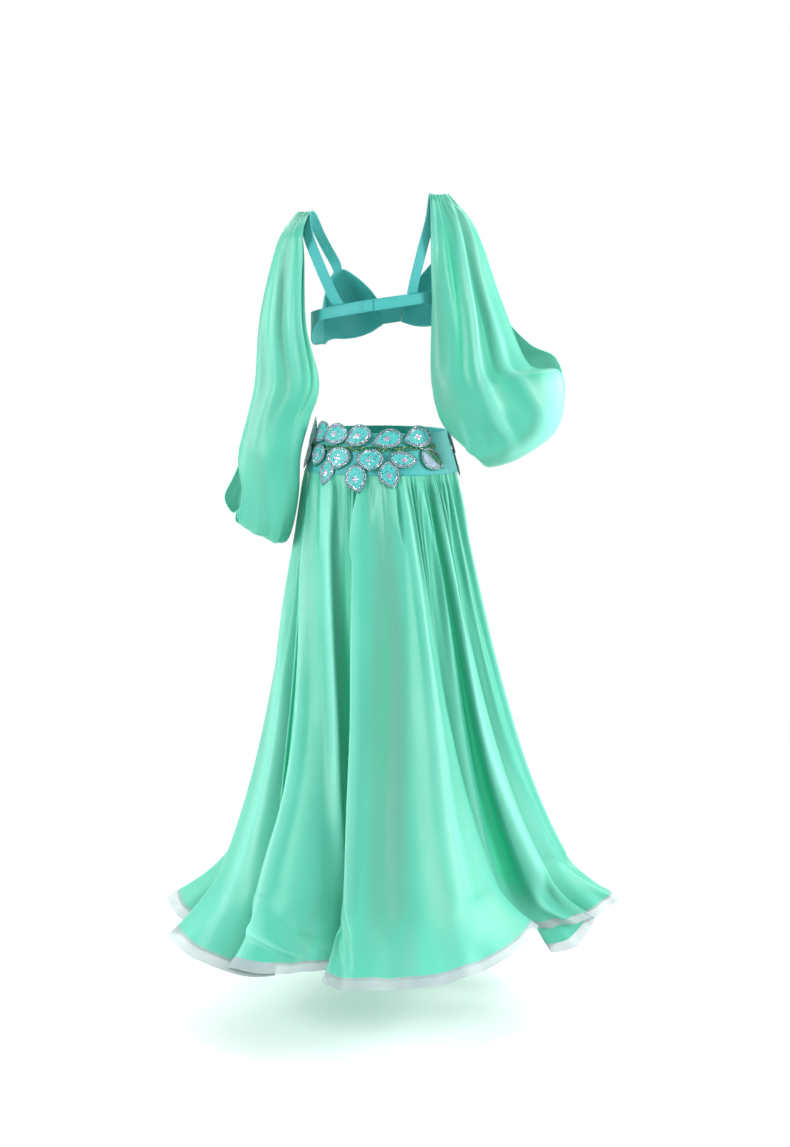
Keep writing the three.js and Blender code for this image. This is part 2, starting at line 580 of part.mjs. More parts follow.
/** A thin domed leaf bent round the hip line; side runs from edge to edge, row along the outline. */
function leaf(spec) {
  const turn = radians(spec.turn);
  const lift = layerLift(spec.layer);
  const degree = hipPoint(spec.az, spec.z).distanceTo(hipPoint(spec.az + 1, spec.z));
  const last = LEAF_OUTLINE.length - 1;
  const surface = (side, row) => {
    const index = Math.min(Math.max(Math.floor(row), 0), last - 1);
    const at = (key) => mix(LEAF_OUTLINE[index][key], LEAF_OUTLINE[index + 1][key], row - index);
    const along = at('along') * spec.length;
    const across = side * at('half') * spec.width;
    const sideways = along * Math.sin(turn) + across * Math.cos(turn);
    const down = along * Math.cos(turn) - across * Math.sin(turn);
    const dome = LEAF_DOME * (1 - side * side) * (1 - (2 * at('along')) ** 2);
    return hipPoint(spec.az - sideways / degree, spec.z - down, lift + dome);
  };
  return wall(spec.name, sheet(surface, steps(-1, 1, 2), steps(0, last, last)), LEAF_WALL, LEAF());
}

function stem() {
  const lift = YOKE_WALL / 2 + STEM.lift + STEM.wall / 2;
  const surface = (t, side) => {
    const z = STEM.z + STEM.drop * Math.sin(Math.PI * t);
    return hipPoint(mix(STEM.from, STEM.to, t), z + side * STEM.width, lift);
  };
  return wall('belt_stem', sheet(surface, steps(0, 1, 20), [-0.5, 0.5]), STEM.wall, STEM_BEADS());
}

function addBelt(dress) {
  dress.add(yoke('yoke_back', 0, 180));
  dress.add(yoke('yoke_front', 180, 360));
  dress.add(stem());
  for (const spec of LEAVES) {
    dress.add(leaf(spec));
  }
}

const dress = new THREE.Group();
dress.name = 'belly_dance_dress';
addBra(dress);
addSleeves(dress);
addBelt(dress);
addSkirt(dress);

export default dress;
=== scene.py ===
"""Belly dance dress: satin, braid, stretch cloth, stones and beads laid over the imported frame.

Sizes in the tables are millimetres in the part's frame: +X to the wearer's left, +Y to the wearer's
back, +Z up, and the origin midway between the tops of the shoulder straps. Meshes are in metres.
"""

import logging
import math
from dataclasses import dataclass, field
from enum import Enum
from typing import Callable, ClassVar, Optional, Sequence

import bpy
import numpy as np
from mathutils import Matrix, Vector

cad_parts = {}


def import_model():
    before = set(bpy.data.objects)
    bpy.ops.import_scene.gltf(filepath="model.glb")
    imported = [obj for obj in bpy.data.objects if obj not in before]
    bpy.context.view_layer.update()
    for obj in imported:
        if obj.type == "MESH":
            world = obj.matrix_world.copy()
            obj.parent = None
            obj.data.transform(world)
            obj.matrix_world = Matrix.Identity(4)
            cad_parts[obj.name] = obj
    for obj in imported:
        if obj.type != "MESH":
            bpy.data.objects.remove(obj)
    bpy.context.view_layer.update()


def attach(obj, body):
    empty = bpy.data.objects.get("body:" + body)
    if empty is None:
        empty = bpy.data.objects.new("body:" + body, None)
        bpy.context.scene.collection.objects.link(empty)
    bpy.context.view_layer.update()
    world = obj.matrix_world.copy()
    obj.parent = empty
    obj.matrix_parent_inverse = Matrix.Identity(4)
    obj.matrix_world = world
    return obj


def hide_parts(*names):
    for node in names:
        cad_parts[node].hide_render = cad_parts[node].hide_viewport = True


LOG = logging.getLogger("dress")
MM = 0.001
FULL_FOLD = 18.0
STITCH_PITCH = 3.6
STITCH_SIZE = (1.4, 0.3, 0.25)
STITCH_OUT = 0.12
Array = np.ndarray
Surface = Callable[[Array, Array], Array]
Material = bpy.types.Material
Node = bpy.types.Node
Object = bpy.types.Object
Point = tuple[float, float, float]
Span = tuple[float, float]
Socket = bpy.types.NodeSocket


class Slot(str, Enum):
    """Material slots of the record."""

    SATIN = "mint_satin"
    BRAID = "horsehair_braid"
    STRETCH = "turquoise_stretch"
    LEAF = "jewelled_leaf"
    BEADS = "green_beads"


class Side(Enum):
    """The wearer's side, as the sign of X."""

    LEFT = 1
    RIGHT = -1


class Panel(Enum):
    """The two cloths of a sleeve."""

    BACK = 1
    FRONT = -1


# ---------- sizes shared with the frame ----------


@dataclass(frozen=True)
class Turn:
    """One turn of the skirt's hem: azimuth at the yoke, then azimuth and radius at knee and hem."""

    top: float
    knee: float
    knee_out: float
    hem: float
    hem_out: float
    hem_z: float


@dataclass(frozen=True)
class Section:
    """One section of a sleeve, from the strap to the cuff; edge angles are in degrees."""

    fold: Point
    slit: Point
    back_deep: float
    front_deep: float
    back: float
    front: float
    front_up: float = 0.0


@dataclass(frozen=True)
class Fold:
    """A long soft ridge or trough in a cloth.

    stops lists (along, at, depth, width): along and at are places along and across in the cloth's
    own units, depth is in millimetres (negative for a trough) and width is in the units across.
    lean pushes the crest sideways, in millimetres, so that it laps over; a higher power squares
    the sides.
    """

    stops: tuple[tuple[float, float, float, float], ...]
    lean: float = 0.0
    power: float = 2.0

    def shape(self, across: Array, along: Array, lap: float) -> Array:
        """How strongly the fold is present, with its depth, at each place of a cloth.

        Args:
            across: Places across.
            along: Places along.
            lap: Length of one round, or 0 for a cloth with free edges.

        Returns:
            Height in millimetres, and the share of the lean.
        """
        table = np.array(self.stops)
        place, at, depth, width = table.T
        ease = 0.02 + 0.06 * (place[-1] - place[0])
        beyond = np.maximum(np.maximum(place[0] - along, along - place[-1]), 0)
        gap = across - flowing(place, at, along)
        if lap:
            gap = (gap + lap / 2) % lap - lap / 2
        wide = np.maximum(flowing(place, width, along), 0.02)
        share = smooth(1 - beyond / ease) * np.exp(-(np.abs(gap / wide) ** self.power))
        return np.stack([share * flowing(place, depth, along), share * self.lean], axis=-1)


Folds = Sequence[Fold]


@dataclass(frozen=True)
class Oval:
    """A level oval ring round the body."""

    z: float
    across: float
    deep: float


@dataclass(frozen=True)
class LeafSpec:
    """One leaf of the belt: where it lies on the hip, its size, its turn and its layer."""

    name: str
    az: float
    z: float
    length: float
    width: float
    turn: float
    layer: int


@dataclass(frozen=True)
class StrapRoute:
    """A strap's middle line from the wing to the cup, and where its two ends stand on them.

    wing and cup are shares of their widths, each with the half width of the strap there; clear and
    cup_clear are the gaps of the seams in millimetres.
    """

    wing: float
    wing_half: float
    cup: float
    cup_half: float
    clear: float
    cup_clear: float
    stations: tuple[Point, ...]


HIP_X, HIP_Y = -18.0, -4.0
YOKE_TOP = Oval(-405, 119, 98)
YOKE_SEAM = Oval(-480, 141, 114)
TORSO_X, TORSO_Y = -18.0, 0.0
TORSO = Oval(0, 127, 99)
SHOULDER_TILT = -0.155
KNEE_Z = -1210.0
BRAID_START = 1.87
COLUMNS_PER_TURN = 3

HEM_TURNS = (
    Turn(-14, -14, 236, -12, 300, -1350), Turn(-7, -4, 286, 4, 398, -1302),
    Turn(-2, 8, 290, 18, 392, -1308), Turn(2, 16, 262, 29, 325, -1350),
    Turn(6, 22, 300, 34, 414, -1310), Turn(9.5, 36, 308, 47, 424, -1318),
    Turn(13, 50, 304, 58, 402, -1332), Turn(16, 60, 262, 66, 318, -1372),
    Turn(20.5, 59, 311, 60.5, 400, -1326), Turn(30, 68, 306, 70, 402, -1320),
    Turn(44, 77, 290, 78, 370, -1320), Turn(60, 84, 268, 86, 341, -1318),
    Turn(73, 90, 238, 94, 294, -1330), Turn(78, 88.5, 290, 86.5, 370, -1326),
    Turn(86, 95, 304, 92.5, 402, -1328), Turn(94, 104, 308, 101, 416, -1322),
    Turn(102, 114, 312, 112, 418, -1320), Turn(109, 125, 306, 125, 397, -1316),
    Turn(115, 139, 292, 142, 365, -1305), Turn(120, 153, 268, 160, 333, -1292),
    Turn(123, 156.5, 243, 169, 292, -1304), Turn(126, 160, 215, 172, 251, -1322),
    Turn(132, 165.5, 240, 181, 302, -1334), Turn(137, 169.5, 288, 184.5, 354, -1329),
    Turn(141, 174, 318, 188.6, 402, -1324), Turn(144, 178, 306, 191, 398, -1346),
    Turn(147, 179.5, 276, 186.5, 370, -1376), Turn(150, 182, 250, 182, 322, -1382),
    Turn(153, 186, 284, 189.5, 340, -1368), Turn(157, 189, 336, 193, 418, -1326),
    Turn(163, 193, 354, 197, 458, -1304), Turn(170, 200, 346, 204, 425, -1306),
    Turn(180, 209, 280, 213, 330, -1350), Turn(196, 222, 320, 225, 425, -1308),
    Turn(212, 236, 262, 238, 318, -1352), Turn(228, 250, 322, 253, 428, -1306),
    Turn(244, 262, 258, 264, 312, -1355), Turn(260, 276, 325, 277, 430, -1308),
    Turn(275, 289, 262, 289, 318, -1352), Turn(290, 302, 318, 302, 422, -1310),
    Turn(306, 315, 258, 315, 312, -1354), Turn(324, 329, 314, 331, 418, -1308),
)
ROUND = len(HEM_TURNS) * COLUMNS_PER_TURN
GORE_SEAMS = (1, 23, 39, 64, 82, 97, 109, 121)

LEFT_SLEEVE = (
    Section((104, 36, -13.8), (130, -6, -13.4), 11, -2, 42, 42),
    Section((103, 86, -49), (142, 2, -46), 26, -14, 36, 40),
    Section((101, 87, -95), (162, 12, -88), 32, -10, 30, 38),
    Section((101, 78, -210), (192, 20, -205), 42, -4, 26, 30),
    Section((88, 50, -320), (206, 26, -316), 52, 40, 25, 24),
    Section((104, 68, -385), (217, 24, -375), 48, 36, 26, 16),
    Section((118, 86, -445), (232, 22, -432), 46, 38, 42, 8),
    Section((122, 78, -520), (258, 14, -492), 46, 40, 78, 3),
    Section((136, 66, -585), (276, 14, -530), 42, 38, 84, 1),
    Section((154, 52, -612), (270, 16, -552), 36, 33, 78, 1),
    Section((182, 38, -596), (258, 20, -562), 30, 28, 60, 1),
    Section((196, 32, -574), (248, 23, -556), 26, 23, 40, 1),
)
RIGHT_SLEEVE = (
    Section((-111, 10, 15.2), (-134, -34, 17.6), 11, -1, 42, 42),
    Section((-123, 66, -60), (-184, -26, -44), 24, -6, 34, 36),
    Section((-126, 70, -170), (-240, -8, -178), 32, 2, 24, 30),
    Section((-124, 68, -285), (-292, 4, -282), 46, 44, 22, 10, 36),
    Section((-128, 66, -335), (-344, -6, -294), 56, 52, 14, 14, 20),
    Section((-134, 64, -362), (-354, -2, -345), 56, 40, 1, 1),
    Section((-140, 62, -380), (-338, 6, -404), 50, 36, 1, 1),
    Section((-146, 60, -392), (-278, 22, -450), 42, 32, 1, 1),
    Section((-152, 58, -400), (-226, 36, -466), 34, 28, 1, 1),
    Section((-160, 56, -408), (-210, 43, -452), 28, 25, 1, 1),
    Section((-166, 54, -396), (-208, 45, -430), 26, 22, 1, 1),
)
CUFF_HEIGHT = 12.0

STRAP_WIDTH = 18.0
STRAPS = {
    Side.LEFT: StrapRoute(0.77, 0.04, 0.59, 0.065, 1.0, 1.7, (
        (41, 90.2, -172), (50, 97, -148), (71, 98, -97), (97, 73, -42), (112, 30, -3),
        (113, -12, -2), (109, -60, -36), (97, -94, -74), (82, -110, -104),
    )),
    Side.RIGHT: StrapRoute(0.683, 0.04, 0.58, 0.07, 0.95, 1.6, (
        (-93, 82.3, -172), (-99, 85, -148), (-109, 73, -100), (-116, 38, -48), (-114, -4, -4),
        (-114, -34, -8), (-116, -66, -38), (-117, -94, -76), (-116, -110, -104),
    )),
}
CUP_SPAN = (8.0, 66.0)
WING_SIDE = (-236.0, -182.0)
WING_HOOK = (-193.0, -172.0)

LEAVES = (
    LeafSpec("leaf_upper_1", 21, -407, 54, 34, 158, 2),
    LeafSpec("leaf_upper_2", 40, -408, 42, 38, 40, 1),
    LeafSpec("leaf_upper_3", 59, -410, 54, 37, 80, 2),
    LeafSpec("leaf_upper_4", 81, -412, 50, 37, 58, 1),
    LeafSpec("leaf_upper_5", 105.5, -416, 55, 34, 74, 1),
    LeafSpec("leaf_upper_6", 132, -414, 54, 38, 80, 1),
    LeafSpec("leaf_lower_1", 22, -451, 46, 34, 6, 1),
    LeafSpec("leaf_lower_2", 43.5, -448, 40, 38, 12, 1),
    LeafSpec("leaf_lower_3", 67, -450, 40, 48, 8, 1),
    LeafSpec("leaf_lower_4", 93, -452, 40, 48, 4, 1),
    LeafSpec("leaf_lower_5", 118, -449, 50, 30, -80, 1),
    LeafSpec("leaf_two_tone", 143.5, -452, 50, 36, -46, 1),
    LeafSpec("leaf_hanging_1", 57, -477, 46, 33, 6, 0),
    LeafSpec("leaf_hanging_2", 83, -485, 52, 40, -12, 0),
    LeafSpec("leaf_hanging_3", 107, -478, 50, 38, -10, 0),
    LeafSpec("leaf_side_left", 2, -446, 48, 34, 10, 1),
    LeafSpec("leaf_side_right_1", 198, -424, 50, 36, 14, 1),
    LeafSpec("leaf_side_right_2", 199, -466, 48, 34, 0, 0),
)
LEAF_LIFT = (1.6, 2.15)
LEAF_WALL = 1.2
YOKE_WALL = 1.6

# The skirt's folds: along is the level from yoke to hem, at and width are in columns of the turns.
SKIRT_FOLDS = (
    # Wearer's left of the back: a broad soft flute, then the dark valley beside the next panel.
    Fold(((0.15, 13, 1, 1.6), (0.42, 15.8, 5, 1.8), (0.61, 17.4, 6, 1.8), (0.8, 17.3, 6, 1.5),
        (0.97, 16.6, 5, 1.2), (1.5, 16, 3, 1.1), (2.1, 16, 1, 1))),
    Fold(((0.03, 24.8, -2, 1.2), (0.15, 24.8, -4, 1.3), (0.32, 24.6, -7, 1.3), (0.51, 24.6, -9, 1.1),
        (0.7, 24.6, -10, 1), (0.95, 23.4, -8, 0.8), (1.4, 22.8, -3, 0.8), (1.7, 22.6, 0, 0.9))),
    # The next panel's edge laps to the left.
    Fold(((0.02, 28.8, 2, 1.1), (0.21, 27.6, 5, 0.9), (0.43, 28, 6, 0.75), (0.62, 27.8, 7, 0.7),
        (0.79, 26.7, 7, 0.7), (0.95, 25.2, 7, 0.7), (1.44, 25.6, 6, 0.7), (2.1, 25.6, 5, 0.7)), -9),
    Fold(((0.02, 32.6, 3, 0.8), (0.21, 32.2, 6, 0.8), (0.4, 32.6, 8, 0.8), (0.6, 33, 9, 0.8),
        (0.8, 33.2, 9, 0.8), (0.95, 33.8, 5, 0.8), (1.3, 34.2, 1.5, 0.9), (1.7, 34.4, 0, 0.9)), 7),
    # The deep valley at the middle of the back, and the wide panel that laps over it.
    Fold(((0.02, 36.2, -2, 2.5), (0.1, 36.5, -4, 3), (0.21, 36.8, -7, 3.3), (0.35, 37.2, -9, 3.2),
        (0.55, 37.5, -11, 2.8), (0.75, 37.6, -13, 2.1), (0.88, 37.5, -14, 1.6), (1.1, 38, -12, 1),
        (1.5, 40, -6, 0.7), (2, 41.5, -1, 0.7)), 0, 4),
    Fold(((0.08, 38.6, 2, 0.9), (0.3, 39, 4, 1), (0.55, 39, 4, 0.9), (0.72, 38.8, 0, 0.7))),
    Fold(((0.1, 41.6, 2, 1.2), (0.25, 41.3, 5, 1), (0.42, 41.2, 7, 0.9), (0.6, 41.3, 7, 0.9),
        (0.8, 41, 7, 0.8), (0.97, 40.9, 5, 0.7), (1.5, 42.6, 2, 0.7), (1.9, 44, 0, 0.8)), -7),
    # Short pleats under the belt.
    Fold(((0, 42.6, 2.5, 0.7), (0.1, 42, 4.5, 0.7), (0.18, 40.9, 1, 0.7)), -5),
    Fold(((0, 40.6, -4, 0.6), (0.08, 40.7, -5, 0.6), (0.15, 40.3, 0, 0.6))),
    Fold(((0, 50.2, 2, 0.4), (0.05, 50.2, 3.5, 0.45), (0.12, 50.2, 3.5, 0.45), (0.17, 51, 0, 0.5)), 4),
    Fold(((0.02, 51.4, -1, 0.6), (0.1, 51.3, -3.5, 0.7), (0.17, 51.8, 0, 0.6))),
    Fold(((0, 46.4, 1, 1.2), (0.05, 46, 3.5, 1.3), (0.16, 44.6, 0, 1.4))),
    Fold(((0, 24.6, -3, 0.9), (0.12, 25, -3, 1), (0.25, 24, 0, 1))),
    Fold(((0, 30.3, -2.5, 0.6), (0.12, 29.6, -3, 0.7), (0.24, 29, 0, 0.7))),
    Fold(((0, 31.8, 2.5, 0.8), (0.09, 31.4, 3, 0.9), (0.25, 31, 0, 0.9))),
    # Long swells of the wide panel, with one bright ridge from belt to hem.
    Fold(((0.12, 47.5, 0, 2), (0.3, 47, -5, 2.2), (0.62, 45.7, -6, 2), (0.85, 44.7, -5, 1.6),
        (1.2, 44.8, -4, 1.2), (1.9, 46.5, 0, 1))),
    Fold(((0.08, 53, 1, 1.8), (0.35, 51, 1.5, 2), (0.6, 49.5, 2, 2), (0.85, 48, 1.5, 1.8),
        (1.3, 47.9, 1, 1.6), (2, 48, 0, 1.5))),
    Fold(((0, 54.3, 3, 0.8), (0.15, 54.4, 5, 0.8), (0.33, 54.4, 6, 0.9), (0.5, 54.2, 6, 1.1),
        (0.66, 53.6, 6, 1.2), (0.82, 52.8, 5.5, 1.2), (0.97, 52.4, 5, 1.2), (1.5, 52, 3, 1.4),
        (2.1, 51.5, 1, 1.4))),
    Fold(((0, 62, 3, 1), (0.05, 64.2, 4, 1), (0.14, 65.6, 4.5, 1), (0.24, 66.4, 5, 1.1),
        (0.41, 66.2, 5, 1.3), (0.56, 65.6, 5, 1.5), (0.71, 65, 5, 1.6), (0.86, 64.6, 5, 1.6),
        (1, 64.2, 4, 1.5), (1.4, 64, 2, 1.4), (1.9, 64, 0, 1.2)), 4),
    # The valley and the flutes at the wearer's right hip.
    Fold(((0.05, 69, -3, 0.9), (0.16, 69.2, -5, 1), (0.31, 69.1, -9, 1.05), (0.46, 68.6, -11.5, 1.1),
        (0.61, 68, -13, 1.1), (0.77, 67.5, -14, 1.15), (0.95, 67, -12.5, 1.25), (1.3, 66.8, -7, 1.2),
        (1.9, 66.5, 0, 1.1)), 0, 4),
    Fold(((0.02, 72.6, 2, 1), (0.12, 72, 3, 1.1), (0.29, 71.4, 5, 1), (0.44, 70.7, 5, 1),
        (0.58, 70, 5.5, 1), (0.71, 69.8, 6, 1.1), (0.82, 70, 6, 1.2), (0.95, 70.2, 4, 1.1),
        (1.3, 70, 2, 0.9), (1.7, 69.5, 0, 0.8)), 1),
    Fold(((0.05, 79, -2, 1.2), (0.3, 78, -4, 1.3), (0.6, 78.4, -4, 1.4), (0.9, 79, 0, 1.5))),
    Fold(((0.05, 75.4, 1, 0.8), (0.3, 74.6, 3, 0.8), (0.6, 74, 3.5, 0.9), (0.9, 74, 2, 0.9),
        (1.2, 74, 0, 0.9))),
    Fold(((0.02, 88.5, 1, 1), (0.17, 88, 1.5, 1.2), (0.37, 85.9, 1, 1), (0.55, 85, 1, 0.9),
        (0.84, 85.4, 1, 0.8), (1.02, 85.4, 0, 0.8))),
    Fold(((0, 68, -3, 0.9), (0.09, 69, -4, 0.9), (0.25, 69, 0, 0.9))),
    Fold(((0, 73.7, 2, 0.9), (0.07, 74.5, 4, 1), (0.2, 75, 0, 1))),
    Fold(((0, 77.5, -3, 1), (0.07, 77, -5, 1.1), (0.22, 76.5, 0, 1.2))),
    Fold(((0, 84, 2, 1.2), (0.07, 83, 4, 1.2), (0.22, 82.5, 0, 1.2))),
    Fold(((0, 89.5, -3, 1.1), (0.07, 90.5, -5, 1.2), (0.25, 90, 0, 1.3))),
    # Where the hem swings.
    Fold(((1.3, 24.6, 0, 0.8), (1.58, 25.8, 6, 0.8), (1.7, 27.8, 5, 0.7), (1.8, 30, 3, 0.7),
        (1.95, 32, 0, 0.7))),
    Fold(((1.2, 27.5, 0, 1), (1.45, 28.5, -4, 1), (1.6, 31, -4, 1), (1.75, 33, 0, 1))),
    Fold(((0.95, 69.6, 0, 0.7), (1.25, 69, 2, 0.6), (1.6, 68.6, 6, 0.5), (1.8, 69.2, 5, 0.5),
        (2.1, 70, 1, 0.6))),
    Fold(((0.95, 71.6, 0, 0.9), (1.2, 70.8, -2, 0.8), (1.42, 70.2, -5, 0.6), (1.75, 69.9, 0, 0.5))),
    # The front and the sides, in the same manner.
    Fold(((0.02, 2, 2, 1), (0.3, 2.5, 5, 1.2), (0.7, 3.2, 6, 1.1), (1.1, 3.4, 4, 1), (2.1, 3.2, 1, 1)),
        5),
    Fold(((0.02, 6.5, -3, 1.2), (0.3, 7, -8, 1.5), (0.6, 8, -9, 1.4), (0.95, 8.8, -4, 1.2),
        (1.5, 9, 0, 1))),
    Fold(((0.02, 93.5, 2, 0.9), (0.25, 93, 5, 1.1), (0.6, 92.6, 7, 1), (0.95, 92.4, 5, 0.9),
        (1.9, 92.4, 1, 0.9)), -5),
    Fold(((0.04, 97, -3, 1.3), (0.3, 96.6, -9, 1.6), (0.6, 96.2, -10, 1.5), (0.95, 96, -5, 1.3),
        (1.6, 96, 0, 1)), 0, 3),
    Fold(((0.02, 100.6, 2, 0.8), (0.2, 100.3, 5, 1), (0.5, 100, 6, 1), (0.9, 99.6, 5, 0.9),
        (1.8, 99.4, 0, 0.9))),
    Fold(((0.02, 104, -3, 1), (0.22, 103, -6, 1.4), (0.55, 102.4, -8, 1.4), (0.9, 102.2, -3, 1.2),
        (1.3, 102, 0, 1))),
    Fold(((0.02, 106, 3, 0.9), (0.3, 106.6, 6, 1), (0.7, 107, 7, 1), (1.1, 107, 5, 0.9),
        (2.1, 106.8, 2, 1)), 5),
    Fold(((0.02, 110, -2, 1), (0.3, 109.5, -7, 1.5), (0.6, 109, -10, 1.4), (0.95, 108.6, -4, 1.2),
        (1.4, 108.5, 0, 1))),
    Fold(((0.02, 113, 2, 0.8), (0.15, 113.4, 4, 0.9), (0.4, 113.8, 3, 1), (0.7, 113.6, 0, 1))),
    Fold(((0.02, 117, 3, 0.9), (0.3, 117.6, 6, 1.1), (0.7, 118.2, 6, 1), (1.1, 118.4, 4, 0.9),
        (2, 118.4, 0, 1)), -5),
    Fold(((0.02, 121, -3, 1), (0.3, 120.8, -8, 1.5), (0.6, 120.4, -9, 1.4), (0.95, 120.2, -4, 1.1),
        (1.5, 120, 0, 1))),
    Fold(((0.02, 123.6, 2, 0.8), (0.2, 123.8, 4, 1), (0.5, 124, 3, 1), (0.8, 124, 0, 1))),
)
# Where the whole side hangs closer to the body.
SKIRT_BODY = (
    Fold(((0.02, 87, -1, 6), (0.2, 87, -5, 6), (0.6, 87, -8, 6), (0.85, 87, -11, 6), (1.05, 87, -17, 6),
        (1.3, 87, -13, 6), (1.6, 87, -5, 6), (2, 87, 0, 6)), 0, 4),
)
# Where the cloth hangs single and looks see-through: painted shade greys it there, standing for the dark
# inside seen through it; the stops' third number is how strong.
SKIRT_SHEER_SHADES = (
    Fold(((0.06, 47.6, 0.4, 2.4), (0.35, 47.2, 0.8, 3), (0.6, 46.6, 0.85, 2.8), (0.85, 45.6, 0.8, 2.4),
        (1.2, 45, 0.5, 2), (1.7, 45, 0.1, 1.6)), 0, 4),
    Fold(((0.05, 33.5, 0.2, 1.2), (0.3, 34, 0.6, 1.2), (0.6, 34.4, 0.5, 1), (0.9, 34.6, 0, 1))),
    Fold(((0.2, 58, 0.1, 1.6), (0.5, 59, 0.45, 2.2), (0.9, 58.4, 0.4, 2), (1.5, 57, 0, 2))),
    Fold(((0.1, 76, 0.2, 1.6), (0.5, 76, 0.5, 2), (0.9, 76.4, 0.2, 2))),
    Fold(((0.1, 112, 0.2, 1.6), (0.5, 112, 0.55, 2), (0.9, 112, 0.2, 2))),
    Fold(((0.1, 98, 0.2, 1.6), (0.6, 98, 0.5, 2), (1.2, 98, 0.1, 2))),
)
# Where the hem lifts at the turn of a flute.
SKIRT_LIFTS = (
    Fold(((1.3, 21, 0, 1.4), (1.7, 21, 9, 1.4), (2, 21, 19, 1.4), (2.1, 21, 19, 1.4))),
)
# Painted highlights, where the satin is made paler as on a lit high ridge: the stops' third number adds
# to the painted shade and highlight only, not to the cloth's shape.
SKIRT_PAINTED_HIGHLIGHTS = (
    Fold(((0.5, 78, 0, 4), (0.7, 80, 8, 5), (0.88, 81.5, 14, 6), (1.1, 82, 14, 6), (1.4, 82, 8, 6),
        (1.8, 82, 0, 6)), 0, 4),
    Fold(((0.25, 72.2, 0, 1.6), (0.45, 71.6, 4, 1.8), (0.7, 71, 6, 2), (0.95, 71, 7, 2),
        (1.3, 70.8, 4, 2), (1.7, 70.5, 0, 1.8)), 0, 3),
)
# The sleeves' folds: along is the section, at and width are shares from free edge to fold line.
LEFT_BACK_FOLDS = (
    Fold(((0.8, 0.84, 1, 0.07), (2.4, 0.78, 4, 0.065), (3.1, 0.74, 5, 0.06), (3.9, 0.66, 3, 0.06),
        (4.8, 0.66, 1, 0.07), (6, 0.74, 0, 0.08))),
    Fold(((2, 0.5, 1, 0.07), (3, 0.51, 4, 0.075), (3.6, 0.46, 3, 0.08), (4.6, 0.42, 1.5, 0.08),
        (6.2, 0.44, 0, 0.08))),
    Fold(((1.9, 0.62, -1, 0.06), (2.8, 0.63, -3.5, 0.055), (3.75, 0.55, -3, 0.055), (4.8, 0.54, -1, 0.06),
        (6, 0.56, 0, 0.07))),
    Fold(((2.4, 0.4, 0, 0.08), (3.4, 0.3, -3, 0.09), (4.5, 0.24, -3, 0.09), (6, 0.3, -1, 0.08),
        (6.8, 0.34, 0, 0.08))),
    Fold(((0.6, 0.93, 2, 0.035), (1.5, 0.92, 4, 0.03), (2.4, 0.88, 5, 0.028), (3.1, 0.86, 5, 0.028),
        (4.1, 0.78, 3, 0.03), (4.8, 0.76, 1, 0.03), (5.4, 0.78, 0, 0.03)), 4),
    Fold(((0.8, 0.965, -2, 0.022), (1.7, 0.955, -5, 0.024), (2.7, 0.93, -6, 0.03), (3.4, 0.92, -5, 0.035),
        (4.4, 0.84, -3, 0.04), (5, 0.82, 0, 0.04))),
    Fold(((6.6, 0.3, 0, 0.06), (7.8, 0.3, 1.5, 0.07), (9, 0.33, 1.5, 0.06), (10.4, 0.4, 0, 0.05))),
    Fold(((6.4, 0.5, 0, 0.07), (7.6, 0.52, -1.5, 0.07), (9.2, 0.52, -2, 0.06), (10.6, 0.5, 0, 0.05))),
    Fold(((7.4, 0.72, 0, 0.05), (8.6, 0.74, 2, 0.05), (9.8, 0.76, 2, 0.045), (10.8, 0.78, 0, 0.04))),
)
# Painted shade where the left sleeve's cloth looks see-through: greyer, standing for the dark inside; the
# stops' third number is how strong.
LEFT_SHEER_SHADES = (
    Fold(((0.6, 0.64, 0.2, 0.1), (2.1, 0.62, 0.6, 0.09), (3.2, 0.58, 0.5, 0.06), (4.4, 0.54, 0.3, 0.08),
        (5.8, 0.5, 0, 0.1))),
    Fold(((2.2, 0.2, 0.2, 0.1), (3.6, 0.24, 0.6, 0.12), (5.2, 0.24, 0.5, 0.12), (7, 0.3, 0.2, 0.1),
        (8, 0.3, 0, 0.1))),
)
# Painted shade where the right sleeve's cloth looks see-through: greyer, standing for the dark inside;
# the stops' third number is how strong.
RIGHT_SHEER_SHADES = (
    Fold(((0.3, 0.2, 0.3, 0.12), (1.2, 0.28, 0.6, 0.1), (2.2, 0.33, 0.4, 0.05), (3.1, 0.36, 0, 0.04))),
    Fold(((0.8, 0.85, 0.2, 0.12), (2.4, 0.85, 0.55, 0.13), (4.5, 0.85, 0.5, 0.13), (6.4, 0.8, 0, 0.14))),
)
LEFT_FRONT_FOLDS = (
    Fold(((0.6, 0.3, 1, 0.05), (2, 0.34, 3, 0.06), (3.4, 0.4, 4, 0.07), (5, 0.44, 2, 0.08),
        (6.6, 0.45, 0, 0.08))),
    Fold(((1, 0.55, -1, 0.05), (2.4, 0.56, -3, 0.06), (4, 0.58, -4, 0.07), (6, 0.6, -1, 0.07),
        (7, 0.6, 0, 0.07))),
    Fold(((1.4, 0.75, 1, 0.05), (3, 0.74, 3, 0.06), (4.6, 0.76, 4, 0.06), (6.4, 0.78, 1, 0.06),
        (7.4, 0.78, 0, 0.06))),
    Fold(((5, 0.18, 0, 0.04), (6.4, 0.2, 4, 0.045), (8, 0.22, 5, 0.045), (10, 0.2, 2, 0.04),
        (11, 0.2, 0, 0.04))),
    Fold(((5.6, 0.34, 0, 0.05), (7, 0.35, -5, 0.05), (9, 0.36, -4, 0.05), (10.6, 0.34, 0, 0.05))),
)
